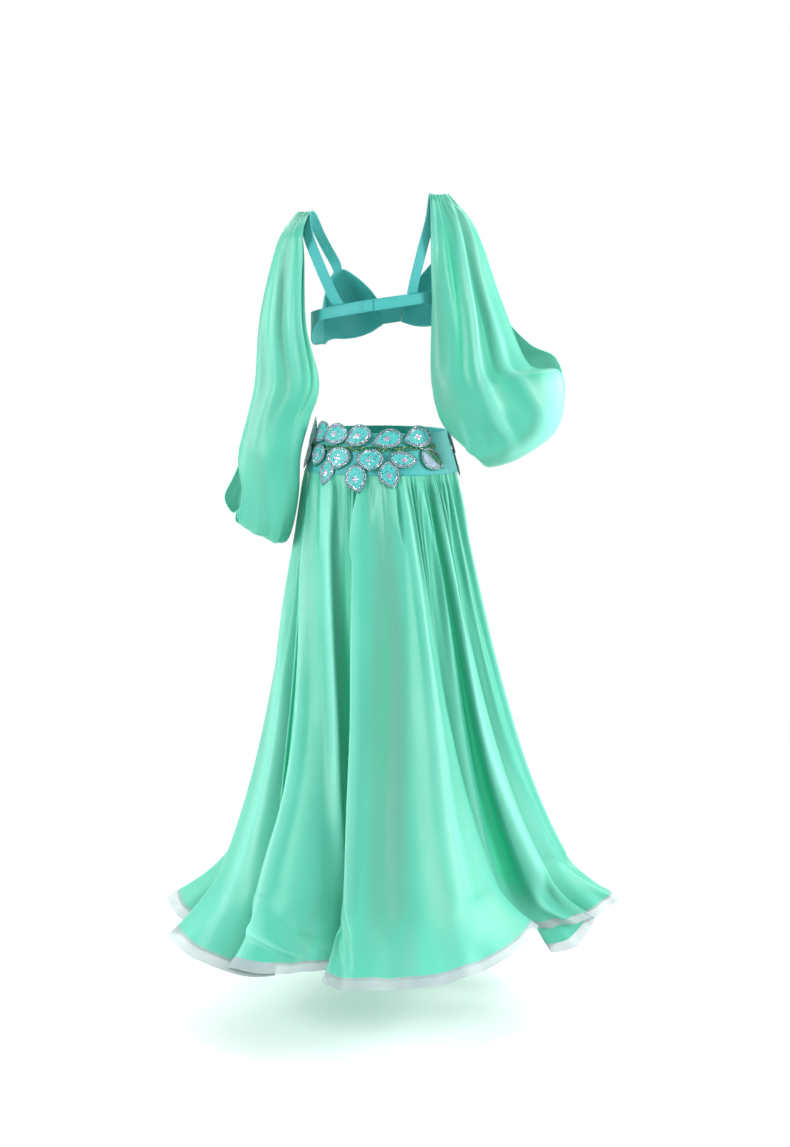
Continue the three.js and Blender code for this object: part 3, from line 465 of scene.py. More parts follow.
RIGHT_BACK_FOLDS = (
    # The long bright ridge from the shoulder to the lowest point.
    Fold(((0.2, 0.3, 2, 0.06), (0.84, 0.43, 5, 0.05), (1.35, 0.465, 6, 0.042), (1.83, 0.465, 6.5, 0.037),
        (2.4, 0.465, 6.5, 0.032), (3, 0.475, 6, 0.03), (3.87, 0.53, 5.5, 0.032), (4.86, 0.55, 5, 0.036),
        (6.15, 0.46, 4, 0.045), (6.8, 0.31, 2, 0.06), (7.3, 0.25, 0, 0.06))),
    # Soft hollows on its two sides.
    Fold(((0.4, 0.58, -2, 0.08), (1.26, 0.61, -5, 0.075), (1.83, 0.6, -5, 0.06), (2.46, 0.59, -4, 0.055),
        (3.66, 0.63, -2.5, 0.06), (4.9, 0.66, 0, 0.07))),
    Fold(((0.7, 0.36, -2, 0.045), (1.44, 0.385, -4, 0.036), (1.98, 0.385, -4.5, 0.036),
        (2.4, 0.37, -4.5, 0.04), (3, 0.37, -4, 0.045), (3.81, 0.42, -3.5, 0.05), (4.59, 0.43, -3, 0.055),
        (5.4, 0.39, -1.5, 0.06), (6.2, 0.33, 0, 0.06))),
    Fold(((0.3, 0.84, 2, 0.08), (1.38, 0.92, 3, 0.08), (2.3, 0.9, 0, 0.08))),
    Fold(((1.7, 0.74, 0, 0.08), (2.55, 0.73, -2.5, 0.08), (3.6, 0.76, 0, 0.08))),
    Fold(((1.9, 0.53, 0, 0.03), (2.55, 0.53, 2, 0.028), (3.6, 0.585, 1.5, 0.03), (4.6, 0.62, 0, 0.034))),
    # The ridge along the free edge, which runs down into the pouch.
    Fold(((0.6, 0.22, 0.5, 0.05), (1.2, 0.27, 2, 0.05), (1.95, 0.29, 3.5, 0.045), (2.5, 0.27, 4, 0.045),
        (3.2, 0.3, 3.5, 0.045), (3.93, 0.345, 3, 0.05), (4.86, 0.355, 2.5, 0.055), (5.5, 0.29, 1.5, 0.06),
        (6.2, 0.24, 0, 0.06))),
    Fold(((0.2, 0.08, 1, 0.06), (0.93, 0.25, 2.5, 0.04), (1.5, 0.22, 0, 0.05))),
    Fold(((5.2, 0.62, 0, 0.03), (6.3, 0.58, -2.5, 0.035), (7.3, 0.44, -1, 0.04), (7.9, 0.4, 0, 0.04))),
    Fold(((4.9, 0.76, 0, 0.04), (6.7, 0.69, 2.5, 0.04), (8.6, 0.48, 1.5, 0.05), (9.6, 0.42, 0, 0.05))),
)
# Painted highlight where the pouch of the right sleeve is made paler.
RIGHT_PAINTED_HIGHLIGHTS = (
    Fold(((3.4, 0.06, 0, 0.12), (4.3, 0.08, 16, 0.16), (5.4, 0.1, 20, 0.18), (6.4, 0.12, 14, 0.16),
        (7.6, 0.14, 0, 0.14)), 0, 4),
)
RIGHT_FRONT_FOLDS = (
    Fold(((0.6, 0.3, 1, 0.05), (1.6, 0.34, 4, 0.06), (2.6, 0.38, 5, 0.06), (4, 0.4, 3, 0.06),
        (5.4, 0.42, 0, 0.06))),
    Fold(((0.8, 0.5, -1, 0.05), (2, 0.54, -5, 0.06), (3.4, 0.56, -6, 0.06), (5, 0.56, -2, 0.06),
        (6, 0.56, 0, 0.06))),
    Fold(((0.8, 0.72, 1, 0.05), (2, 0.72, 4, 0.05), (4, 0.72, 5, 0.05), (6, 0.7, 3, 0.05),
        (7.6, 0.68, 0, 0.05))),
    Fold(((4.4, 0.2, 0, 0.05), (5.6, 0.22, -4, 0.05), (7, 0.26, -4, 0.05), (8.6, 0.3, 0, 0.05))),
    Fold(((4.8, 0.36, 0, 0.04), (6, 0.36, 4, 0.045), (7.4, 0.38, 3, 0.045), (9, 0.4, 0, 0.05))),
)


# ---------- small maths ----------


def spline(values: Array, row: Array) -> Array:
    """Catmull-Rom curve through the rows of a table.

    Args:
        values: One number for each row.
        row: Where to read it, counted in rows.

    Returns:
        The values there, carried on past both ends.
    """
    last = len(values) - 1
    index = np.clip(np.floor(row).astype(int), 0, last - 1)
    t = row - index
    a = values[np.clip(index - 1, 0, last)]
    b = values[index]
    c = values[np.clip(index + 1, 0, last)]
    d = values[np.clip(index + 2, 0, last)]
    curve = 2 * b + (c - a) * t + (2 * a - 5 * b + 4 * c - d) * t**2
    return 0.5 * (curve + (3 * b - a - 3 * c + d) * t**3)


def mix(a: Array, b: Array, t: Array) -> Array:
    """Straight blend from a to b."""
    return a + (b - a) * t


def smooth(t: Array) -> Array:
    """Eased step from 0 to 1."""
    t = np.clip(t, 0.0, 1.0)
    return t * t * (3 - 2 * t)


def stack(x: Array, y: Array, z: Array) -> Array:
    """Points from their three coordinates."""
    return np.stack(np.broadcast_arrays(x, y, z), axis=-1).astype(float)


def unit(vectors: Array) -> Array:
    """Vectors drawn to length one."""
    return vectors / np.maximum(np.linalg.norm(vectors, axis=-1, keepdims=True), 1e-9)


def flowing(places: Array, values: Array, at: Array) -> Array:
    """A smooth line through values given at uneven places, held level past both ends.

    Args:
        places: The places, in rising order.
        values: The value at each of them.
        at: Where to read the line.

    Returns:
        The values there.
    """
    slopes = np.gradient(values, places)
    at = np.clip(at, places[0], places[-1])
    index = np.clip(np.searchsorted(places, at, side="right") - 1, 0, len(places) - 2)
    step = places[index + 1] - places[index]
    t = (at - places[index]) / step
    rise = values[index + 1] - values[index]
    bend = slopes[index] * step * t * (1 - t) ** 2 - slopes[index + 1] * step * t**2 * (1 - t)
    return values[index] + rise * t * t * (3 - 2 * t) + bend


def relief(folds: Folds, across: Array, along: Array, lap: float = 0.0) -> Array:
    """All folds of a cloth together.

    Args:
        folds: The ridges and troughs.
        across: Place across the cloth.
        along: Place along the cloth.
        lap: Length of one round, for a cloth that closes on itself.

    Returns:
        Millimetres out of the cloth, and millimetres sideways.
    """
    total = np.zeros(np.broadcast(across, along).shape + (2,))
    for fold in folds:
        total = total + fold.shape(across, along, lap)
    return total


def evened(values: Array, place: Array, reach: float) -> Array:
    """Evens values out along the rows of a grid.

    Args:
        values: One vector for each point, row by row.
        place: Place of each row along the grid.
        reach: How far a row is felt, in the same unit.

    Returns:
        The evened values.
    """
    weight = np.exp(-(((place[:, None] - place) / reach) ** 2)) * np.gradient(place)
    weight = weight / weight.sum(axis=1, keepdims=True)
    return np.einsum("rk,kcv->rcv", weight, values)


def painted_light_marks(height: Array, patch_shade: Array) -> Array:
    """The marks for a cloth's painted shade and highlight, from its folds' height in millimetres and its
    patch shade.
    """
    return np.clip(np.stack([0.5 + 0.5 * np.tanh(height / FULL_FOLD), patch_shade], axis=-1), 0.0, 1.0)


# ---------- meshes ----------


@dataclass
class Sheet:
    """A cloth as rows of points in millimetres, with outward normals and lengths in metres.

    marks holds two numbers for each point, which the finishes turn into painted shade and highlight: how
    far a fold stands out there (0.5 is level, and a trough is less), and how much patch shade lies there
    (the dark inside seen through the cloth, or the shade under a leaf's stones).
    """

    points: Array
    normals: Array
    lengths: Array
    facing: int = 1
    marks: Optional[Array] = None

    def raised(self, height: Array | float, sideways: Array | float = 0.0) -> "Sheet":
        """The same cloth moved out along its normals and along its rows, in millimetres."""
        across = unit(np.gradient(self.points, axis=1))
        points = self.points + self.normals * np.asarray(height)[..., None]
        points = points + across * np.asarray(sideways)[..., None]
        return Sheet(points, outward(points, self.facing), self.lengths, self.facing, self.marks)

    def trimmed(self) -> "Sheet":
        """The same cloth without its first and last columns."""
        points, normals, lengths, marks = (
            values[:, 1:-1] for values in (self.points, self.normals, self.lengths, self.marks))
        return Sheet(points, normals, lengths, self.facing, marks)

    def area(self) -> float:
        """Surface in square metres."""
        p = self.points * MM
        a, b, c, d = p[:-1, :-1], p[:-1, 1:], p[1:, 1:], p[1:, :-1]
        halves = np.cross(c - a, d - b)
        return float(0.5 * np.linalg.norm(halves, axis=-1).sum())

    def cut_size(self) -> tuple[float, float]:
        """Widest line across and longest line along, in metres."""
        p = self.points * MM
        across = np.linalg.norm(np.diff(p, axis=1), axis=-1).sum(axis=1)
        along = np.linalg.norm(np.diff(p, axis=0), axis=-1).sum(axis=0)
        return float(across.max()), float(along.max())


def put(name: str, data: bpy.types.ID) -> Object:
    """Makes an object of some data and puts it in the scene."""
    made = bpy.data.objects.new(name, data)
    bpy.context.scene.collection.objects.link(made)
    return made


def outward(points: Array, facing: int) -> Array:
    """Normals of a grid of points, on the side that facing names."""
    across = np.gradient(points, axis=1)
    along = np.gradient(points, axis=0)
    return unit(np.cross(across, along)) * facing


def lay(surface: Surface, across: Array, along: Array, facing: int) -> Sheet:
    """Lays a surface out as a sheet.

    Args:
        surface: Point for (across, along).
        across: Places across, one for each column.
        along: Places along, one for each row.
        facing: 1 or -1, so that the normals point away from the body.

    Returns:
        The sheet.
    """
    grid = surface(*np.meshgrid(across, along))
    wide = np.linalg.norm(np.diff(grid, axis=1), axis=-1).mean(axis=0).cumsum() * MM
    long = np.linalg.norm(np.diff(grid, axis=0), axis=-1).mean(axis=1).cumsum() * MM
    lengths = np.stack(np.meshgrid(np.r_[0, wide], np.r_[0, long]), axis=-1)
    return Sheet(grid, outward(grid, facing), lengths, facing)


@dataclass
class Pieces:
    """Faces collected for one joined mesh."""

    points: list[Array] = field(default_factory=list)
    corners: list[Array] = field(default_factory=list)
    counts: list[Array] = field(default_factory=list)
    slots: list[Array] = field(default_factory=list)
    smoothed: list[Array] = field(default_factory=list)
    lengths: list[Array] = field(default_factory=list)
    marks: list[Array] = field(default_factory=list)
    total: int = 0

    def add_faces(self, faces: Array, slot: Array | int, is_smooth: bool) -> None:
        """Adds rows of corner numbers, counted over all points so far."""
        self.corners.append(faces.ravel())
        self.counts.append(np.full(len(faces), faces.shape[1]))
        self.slots.append(np.broadcast_to(slot, len(faces)))
        self.smoothed.append(np.full(len(faces), is_smooth))

    def add_points(self, points: Array, lengths: Optional[Array] = None,
                   marks: Optional[Array] = None) -> int:
        """Adds points.

        Args:
            points: Points in millimetres.
            lengths: Lengths in metres at each point, for the weave.
            marks: Fold height and patch shade at each point, for painted shade and highlight.

        Returns:
            The number of the first of them.
        """
        first = self.total
        flat = points.reshape(-1, 3)
        self.points.append(flat * MM)
        self.lengths.append(flat[:, :2] * MM if lengths is None else lengths.reshape(-1, 2))
        plain = np.full((len(flat), 2), (0.5, 0.0))
        self.marks.append(plain if marks is None else marks.reshape(-1, 2))
        self.total += len(flat)
        return first

    def add(self, points: Array, faces: Array, slot: Array | int = 0,
            lengths: Optional[Array] = None, marks: Optional[Array] = None) -> None:
        """Adds points and the smooth faces between them, all with as many corners.

        Args:
            points: Points in millimetres.
            faces: Rows of corner numbers.
            slot: Material slot.
            lengths: Lengths in metres at each point.
            marks: Fold height and patch shade at each point, for painted shade and highlight.
        """
        first = self.add_points(points, lengths, marks)
        self.add_faces(faces + first, slot, True)

    def add_sheet(self, sheet: Sheet) -> None:
        """Adds one side of a sheet."""
        faces = grid_faces(*sheet.points.shape[:2], False, sheet.facing)
        self.add(sheet.points, faces, 0, sheet.lengths, sheet.marks)

    def add_wall(self, sheet: Sheet, thickness: float, ring: bool = False) -> None:
        """Adds a closed wall round a sheet.

        Args:
            sheet: The middle cloth.
            thickness: The wall in millimetres.
            ring: Whether the last column meets the first.
        """
        rows, columns = sheet.points.shape[:2]
        half = sheet.normals * (thickness / 2)
        both = np.concatenate([sheet.points + half, sheet.points - half]).reshape(-1, 3)
        front = grid_faces(rows, columns, ring, sheet.facing)
        rim = rim_faces(rows, columns, ring)
        if sheet.facing < 0:
            rim = rim[:, ::-1]
        faces = np.concatenate([front, front[:, ::-1] + rows * columns, rim])
        lengths, marks = (None if values is None else np.concatenate([values.reshape(-1, 2)] * 2)
                          for values in (sheet.lengths, sheet.marks))
        self.add(both, faces, 0, lengths, marks)

    def add_tube(self, path: Array, normals: Array, radius: float, slot: int = 0, sides: int = 6,
                 closed: bool = False) -> None:
        """Adds a round cord.

        Args:
            path: Points along its middle, in millimetres.
            normals: A direction at each point, not along the path.
            radius: Radius in millimetres.
            slot: Material slot.
            sides: Faces round it.
            closed: Whether its end meets its start.
        """
        if closed:
            tangent = unit(np.roll(path, -1, axis=0) - np.roll(path, 1, axis=0))
        else:
            tangent = unit(np.gradient(path, axis=0))
        second = unit(np.cross(tangent, normals))
        first = np.cross(second, tangent)
        angle = np.arange(sides) * 2 * math.pi / sides
        cos, sin = np.cos(angle)[:, None], np.sin(angle)[:, None]
        points = path[:, None] + (cos * first[:, None] + sin * second[:, None]) * radius
        if closed:
            points = np.concatenate([points, points[:1]])
        faces = grid_faces(len(points), sides, True, 1)
        self.add(points, faces, slot)
        if not closed:
            ends = np.stack([np.arange(sides)[::-1], np.arange(sides) + (len(path) - 1) * sides])
            self.add(points, ends, slot)

    def build(self, name: str, materials: Sequence[Material], slot: Slot) -> Object:
        """Makes the Blender object, which rides on the one body.

        Args:
            name: Name of the object.
            materials: Its materials, in the order of the slots used.
            slot: The record's slot; not used.

        Returns:
            The new object.
        """
        points = np.concatenate(self.points)
        corners = np.concatenate(self.corners).astype(np.int32)
        counts = np.concatenate(self.counts)
        mesh = bpy.data.meshes.new(name)
        mesh.vertices.add(len(points))
        mesh.vertices.foreach_set("co", points.ravel())
        mesh.loops.add(len(corners))
        mesh.loops.foreach_set("vertex_index", corners)
        mesh.polygons.add(len(counts))
        mesh.polygons.foreach_set("loop_start", (np.cumsum(counts) - counts).astype(np.int32))
        mesh.polygons.foreach_set("material_index", np.concatenate(self.slots).astype(np.int32))
        mesh.polygons.foreach_set("use_smooth", np.concatenate(self.smoothed))
        for label, values in (("lengths", self.lengths), ("marks", self.marks)):
            layer = mesh.uv_layers.new(name=label)
            layer.data.foreach_set("uv", np.concatenate(values)[corners].ravel().astype(float))
        for material in materials:
            mesh.materials.append(material)
        mesh.update(calc_edges=True)
        mesh.validate()
        made = put(name, mesh)
        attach(made, "root")
        return made

    def build_sheet(self, node: str, sheet: Sheet, materials: Sequence[Material],
                    slot: Slot) -> None:
        """Makes the cloth that stands for a node of the frame, and reports it.

        Args:
            node: The node.
            sheet: The cloth, for its area.
            materials: Its materials, in the order of the slots used.
            slot: The record's slot, handed on to build.
        """
        made = self.build(f"{node}_cloth", materials, slot)
        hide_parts(node)
        LOG.info("%s: %.4f m2", made.name, sheet.area())


def grid_faces(rows: int, columns: int, ring: bool, facing: int) -> Array:
    """Four-cornered faces over a grid of points, wound to face outwards.

    Args:
        rows: Rows of points.
        columns: Points in a row.
        ring: Whether the last column meets the first.
        facing: 1 or -1, as for its normals.

    Returns:
        The corner numbers of each face.
    """
    spans = columns if ring else columns - 1
    row, column = np.meshgrid(np.arange(rows - 1), np.arange(spans), indexing="ij")
    after = (column + 1) % columns
    faces = np.stack([row * columns + column, row * columns + after,
                      (row + 1) * columns + after, (row + 1) * columns + column], axis=-1)
    faces = faces.reshape(-1, 4)
    return faces if facing > 0 else faces[:, ::-1]


def rim_faces(rows: int, columns: int, ring: bool) -> Array:
    """Faces that close the edges between the two sides of a wall.

    Args:
        rows: Rows of points on a side.
        columns: Points in a row.
        ring: Whether the last column meets the first.

    Returns:
        The corner numbers of each face.
    """
    size = rows * columns
    grid = np.arange(size).reshape(rows, columns)
    lines = [grid[0, ::-1], grid[-1]]
    if ring:
        lines = [np.r_[grid[0, ::-1], grid[0, -1]], np.r_[grid[-1], grid[-1, 0]]]
    else:
        lines += [grid[:, 0], grid[::-1, -1]]
    return np.concatenate([
        np.stack([line[:-1], line[1:], line[1:] + size, line[:-1] + size], axis=-1)
        for line in lines])


@dataclass(frozen=True)
class Bit:
    """A small solid that is set many times: a stone, a bead or a stitch, of radius one."""

    points: Array
    faces: tuple[tuple[int, ...], ...]
    is_smooth: bool

    def scatter(self, pieces: Pieces, at: Array, up: Array, along: Array,
                size: float | Sequence[float], slot: Array | int) -> None:
        """Adds a copy at each place.

        Args:
            pieces: The joined mesh to add to.
            at: Places in millimetres.
            up: Direction of each copy's own Z.
            along: Direction of each copy's own X, before it is squared to up.
            size: Radius in millimetres, or one for each of its own axes.
            slot: Material slot of each copy, or of all.
        """
        count = len(at)
        if not count:
            return
        up = unit(np.broadcast_to(up, (count, 3)))
        side = unit(np.cross(up, np.broadcast_to(along, (count, 3))))
        axes = np.stack([np.cross(side, up), side, up], axis=1)
        sizes = np.broadcast_to(np.asarray(size, float), (count, 3))
        placed = np.einsum("nvk,nkc->nvc", self.points[None] * sizes[:, None], axes) + at[:, None]
        starts = pieces.add_points(placed) + np.arange(count) * len(self.points)
        for sides in sorted({len(face) for face in self.faces}):
            some = np.array([face for face in self.faces if len(face) == sides])
            rows = (some[None] + starts[:, None, None]).reshape(-1, sides)
            kinds = np.repeat(np.broadcast_to(slot, count), len(some))
            pieces.add_faces(rows, kinds, self.is_smooth)


def cut_stone(table: float = 0.55, crown: float = 0.6) -> Bit:
    """A flat-backed round stone with a flat top and sixteen facets round it."""
    turn = np.arange(8) * math.pi / 4
    top = turn + math.pi / 8
    points = np.concatenate([stack(np.cos(turn), np.sin(turn), 0),
                             stack(table * np.cos(top), table * np.sin(top), crown)])
    faces: list[tuple[int, ...]] = [tuple(range(8, 16))]
    for i in range(8):
        after = (i + 1) % 8
        faces += [(i, after, 8 + i), (after, 8 + after, 8 + i)]
    return Bit(points, tuple(faces), False)


def round_bead() -> Bit:
    """A round bead as a twenty-sided ball."""
    g = (1 + 5**0.5) / 2
    points = np.array([
        [-1, g, 0], [1, g, 0], [-1, -g, 0], [1, -g, 0], [0, -1, g], [0, 1, g],
        [0, -1, -g], [0, 1, -g], [g, 0, -1], [g, 0, 1], [-g, 0, -1], [-g, 0, 1]])
    faces = (
        (0, 11, 5), (0, 5, 1), (0, 1, 7), (0, 7, 10), (0, 10, 11), (1, 5, 9), (5, 11, 4),
        (11, 10, 2), (10, 7, 6), (7, 1, 8), (3, 9, 4), (3, 4, 2), (3, 2, 6), (3, 6, 8),
        (3, 8, 9), (4, 9, 5), (2, 4, 11), (6, 2, 10), (8, 6, 7), (9, 8, 1))
    return Bit(unit(points), faces, True)


def stitch() -> Bit:
    """A stitch as a slim pointed bead."""
    points = np.array([[1, 0, 0], [-1, 0, 0], [0, 1, 0], [0, -1, 0], [0, 0, 1], [0, 0, -1.0]])
    faces = ((0, 2, 4), (2, 1, 4), (1, 3, 4), (3, 0, 4), (2, 0, 5), (1, 2, 5), (3, 1, 5), (0, 3, 5))
    return Bit(points, faces, True)


def spaced(path: Array, normals: Array, pitch: float) -> tuple[Array, Array, Array]:
    """Places evenly spaced along a line of points.

    Args:
        path: The line, in millimetres.
        normals: A direction at each of its points.
        pitch: Distance from one place to the next.

    Returns:
        The places, and the direction and the run of the line at each.
    """
    run = np.r_[0, np.linalg.norm(np.diff(path, axis=0), axis=-1).cumsum()]
    numbers = np.arange(len(path))
    rows = np.interp(np.arange(pitch / 2, run[-1], pitch), run, numbers)
    places = np.stack([np.interp(rows, numbers, values) for values in path.T], axis=-1)
    index = np.clip(rows.astype(int), 0, len(path) - 2)
    return places, normals[index], path[index + 1] - path[index]


def sew(pieces: Pieces, path: Array, normals: Array) -> None:
    """Adds a row of stitches along a line, in the second slot of a mesh."""
    stitch().scatter(pieces, *spaced(path, normals, STITCH_PITCH), STITCH_SIZE, 1)


def tilted(rng: np.random.Generator, normals: Array, amount: float) -> Array:
    """Directions that lean a little at random."""
    return unit(normals + rng.normal(0, amount, normals.shape))


# ---------- forms of the dress ----------


def hip_point(az: Array, z: Array, lift: Array | float = 0.0) -> Array:
    """A point on the hip line.

    Args:
        az: Degrees round the body.
        z: Height.
        lift: Distance out from the yoke's middle.

    Returns:
        The point.
    """
    t = (z - YOKE_TOP.z) / (YOKE_SEAM.z - YOKE_TOP.z)
    angle = np.radians(az)
    across = mix(YOKE_TOP.across, YOKE_SEAM.across, t) + lift
    deep = mix(YOKE_TOP.deep, YOKE_SEAM.deep, t) + lift
    return stack(HIP_X + across * np.cos(angle), HIP_Y + deep * np.sin(angle), z)


def turn_value(name: str, column: Array) -> Array:
    """A column of the hem table, read at a place round the skirt.

    Args:
        name: Name of the column.
        column: The place, three to a turn.

    Returns:
        The value there, which goes on rising past a full round where it is an angle.
    """
    rows = np.arange(-4, len(HEM_TURNS) + 6)
    values = np.array([getattr(HEM_TURNS[row % len(HEM_TURNS)], name) for row in rows], float)
    if name in ("top", "knee", "hem"):
        values += 360.0 * (rows // len(HEM_TURNS))
    return spline(values, column / COLUMNS_PER_TURN + 4)


def skirt_point(column: Array, level: Array) -> Array:
    """A point of the skirt's plain cloth.

    Args:
        column: Place round the skirt.
        level: 0 at the yoke, 1 at the knee, 2 at the hem.

    Returns:
        The point.
    """
    top, knee, hem = (np.radians(turn_value(name, column)) for name in ("top", "knee", "hem"))
    knee_out = turn_value("knee_out", column)
    hem_out = turn_value("hem_out", column)
    fall = np.clip(level - 1, 0, None)
    high = np.clip(level, None, 1)
    spread = 0.7 * high + 0.3 * high**4
    flare = 0.5 * fall + 0.5 * fall**2.1
    x = mix(YOKE_SEAM.across * np.cos(top), knee_out * np.cos(knee), spread)
    y = mix(YOKE_SEAM.deep * np.sin(top), knee_out * np.sin(knee), spread)
    z = mix(mix(YOKE_SEAM.z, KNEE_Z, high), turn_value("hem_z", column), fall)
    return stack(HIP_X + mix(x, hem_out * np.cos(hem), flare),
                 HIP_Y + mix(y, hem_out * np.sin(hem), flare), z)


def sleeve_point(sections: Sequence[Section], turn: Array, row: Array) -> Array:
    """A point of a sleeve's cloth.

    Args:
        sections: The sleeve.
        turn: Degrees round the section, from the slit line.
        row: Place along, counted in sections.

    Returns:
        The point.
    """
    def value(pick: Callable[[Section], float]) -> Array:
        """One size of the sections, read at the rows."""
        return spline(np.array([pick(section) for section in sections], float), row)

    fold = np.stack([value(lambda cut, k=k: cut.fold[k]) for k in range(3)], axis=-1)
    slit = np.stack([value(lambda cut, k=k: cut.slit[k]) for k in range(3)], axis=-1)
    half = (slit - fold) / 2
    sign = 1 if sections[3].fold[0] > 0 else -1
    angle = np.radians(turn)
    is_back = (turn > 0) & (turn < 180)
    deep = np.where(is_back, value(lambda cut: cut.back_deep), value(lambda cut: cut.front_deep))
    out = unit(stack(-half[..., 1] * sign, half[..., 0] * sign, np.zeros_like(angle)))
    point = (fold + slit) / 2 + half * np.cos(angle)[..., None]
    point = point + out * (np.sin(angle) * deep)[..., None]
    rise = value(lambda cut: cut.front_up) * (0.5 + np.cos(angle) / 2)
    point[..., 2] += np.where((turn > 180) & (turn < 360), rise, 0.0)
    return point


def torso_point(az: Array, z: Array, out: Array | float = 0.0) -> Array:
    """A point on the torso line under the bra, which slopes with the raised shoulder."""
    angle = np.radians(az)
    x = TORSO_X + (TORSO.across + out) * np.cos(angle)
    y = TORSO_Y + (TORSO.deep + out) * np.sin(angle)
    return stack(x, y, z + SHOULDER_TILT * x)


CUP_ROWS = (
    (0, -216, -184, 0), (0.17, -226, -150, 26), (0.34, -231, -122, 42), (0.52, -231, -104, 46),
    (0.7, -228, -116, 38), (0.86, -230, -150, 20), (1, -236, -182, 0),
)


def cup_value(name: int, across: Array) -> Array:
    """A column of the cup table (1 bottom, 2 top, 3 out), read at a share of the cup's width."""
    table = np.array(CUP_ROWS, float)
    row = np.interp(across, table[:, 0], np.arange(len(table)))
    return spline(table[:, name], row)


def cup_point(side: Side, across: Array, rise: Array) -> Array:
    """A point of a cup: across from the bridge to the wing, rise from the lower edge up."""
    az = -90 + side.value * mix(CUP_SPAN[0], CUP_SPAN[1], across)
    out = cup_value(3, across) * np.sin(math.pi * mix(0.08, 0.8, rise))
    return torso_point(az, mix(cup_value(1, across), cup_value(2, across), rise), out)


def wing_point(side: Side, t: Array, rise: Array) -> Array:
    """A point of a wing: t runs from the cup to the hook, rise from the lower edge up."""
    az = 90 - side.value * mix(180 - CUP_SPAN[1], 0, t)
    bottom = mix(WING_SIDE[0], WING_HOOK[0], smooth((t - 0.12) / 0.5))
    top = mix(WING_SIDE[1], WING_HOOK[1], 1 - (1 - t) ** 2)
    return torso_point(az, mix(bottom, top, rise))


# ---------- finishes ----------


WHITE = (1.0, 1.0, 1.0, 1.0)
BLACK = (0.0, 0.0, 0.0, 1.0)
SHEEN_TONE = "#C4F4EA"
SHEEN_ROUGHNESS = 0.3


def linear(code: str) -> tuple[float, float, float, float]:
    """A colour code of the screen as linear red, green, blue and alpha."""
    values = [int(code[i:i + 2], 16) / 255 for i in (1, 3, 5)]
    red, green, blue = (v / 12.92 if v <= 0.04045 else ((v + 0.055) / 1.055) ** 2.4 for v in values)
    return red, green, blue, 1.0


@dataclass
class Graph:
    """A node tree that is being wired."""

    tree: bpy.types.NodeTree

    def link(self, source: Socket, target: Socket) -> None:
        """Joins an output to an input."""
        self.tree.links.new(source, target)

    def node(self, kind: str, values: Optional[dict[str | int, object]] = None,
             **settings: object) -> Node:
        """Adds a shader node.

        Args:
            kind: Type of the node, without its common first words.
            values: Its inputs, each a plain value or another node's output.
            settings: Its properties.

        Returns:
            The node.
        """
        made = self.tree.nodes.new(f"ShaderNode{kind}")
        for name, setting in settings.items():
            setattr(made, name, setting)
        for name, value in (values or {}).items():
            if isinstance(value, Socket):
                self.link(value, made.inputs[name])
            else:
                made.inputs[name].default_value = value
        return made

    def math(self, operation: str, *values: object) -> Socket:
        """Adds a Math node and gives its output."""
        return self.node("Math", dict(enumerate(values)), operation=operation).outputs[0]

    def blend(self, share: object, first: object, second: object) -> Socket:
        """Adds a colour Mix node and gives its output."""
        return self.node("Mix", {0: share, 6: first, 7: second}, data_type="RGBA").outputs[2]

    def ranged(self, value: Socket, low: float, high: float, start: object = 0.0,
               end: float = 1.0, kind: str = "LINEAR") -> Socket:
        """Adds a Map Range node, from low and high to start and end, and gives its output."""
        values = {0: value, 1: low, 2: high, 3: start, 4: end}
        return self.node("MapRange", values, interpolation_type=kind).outputs[0]

    def parts(self, vector: Socket) -> Sequence[Socket]:
        """Adds a Separate XYZ node and gives its outputs."""
        return self.node("SeparateXYZ", {0: vector}).outputs

    def noise(self, place: Socket, scale: object, **values: float) -> Socket:
        """Adds a Noise Texture node and gives its output."""
        return self.node("TexNoise", {"Vector": place, "Scale": scale, **values}).outputs["Fac"]

    def layer(self, name: str) -> Socket:
        """Adds a UV Map node and gives its output."""
        return self.node("UVMap", uv_map=name).outputs[0]

    def bump(self, height: Socket, distance: float, strength: float, **values: Socket) -> Socket:
        """Adds a Bump node and gives its output."""
        values = {"Strength": strength, "Distance": distance, "Height": height, **values}
        return self.node("Bump", values).outputs[0]

    def shade_between(self, share: object, first: Node, second: Node) -> Socket:
        """Adds a Mix Shader node and gives its output."""
        values = {0: share, 1: first.outputs[0], 2: second.outputs[0]}
        return self.node("MixShader", values).outputs[0]


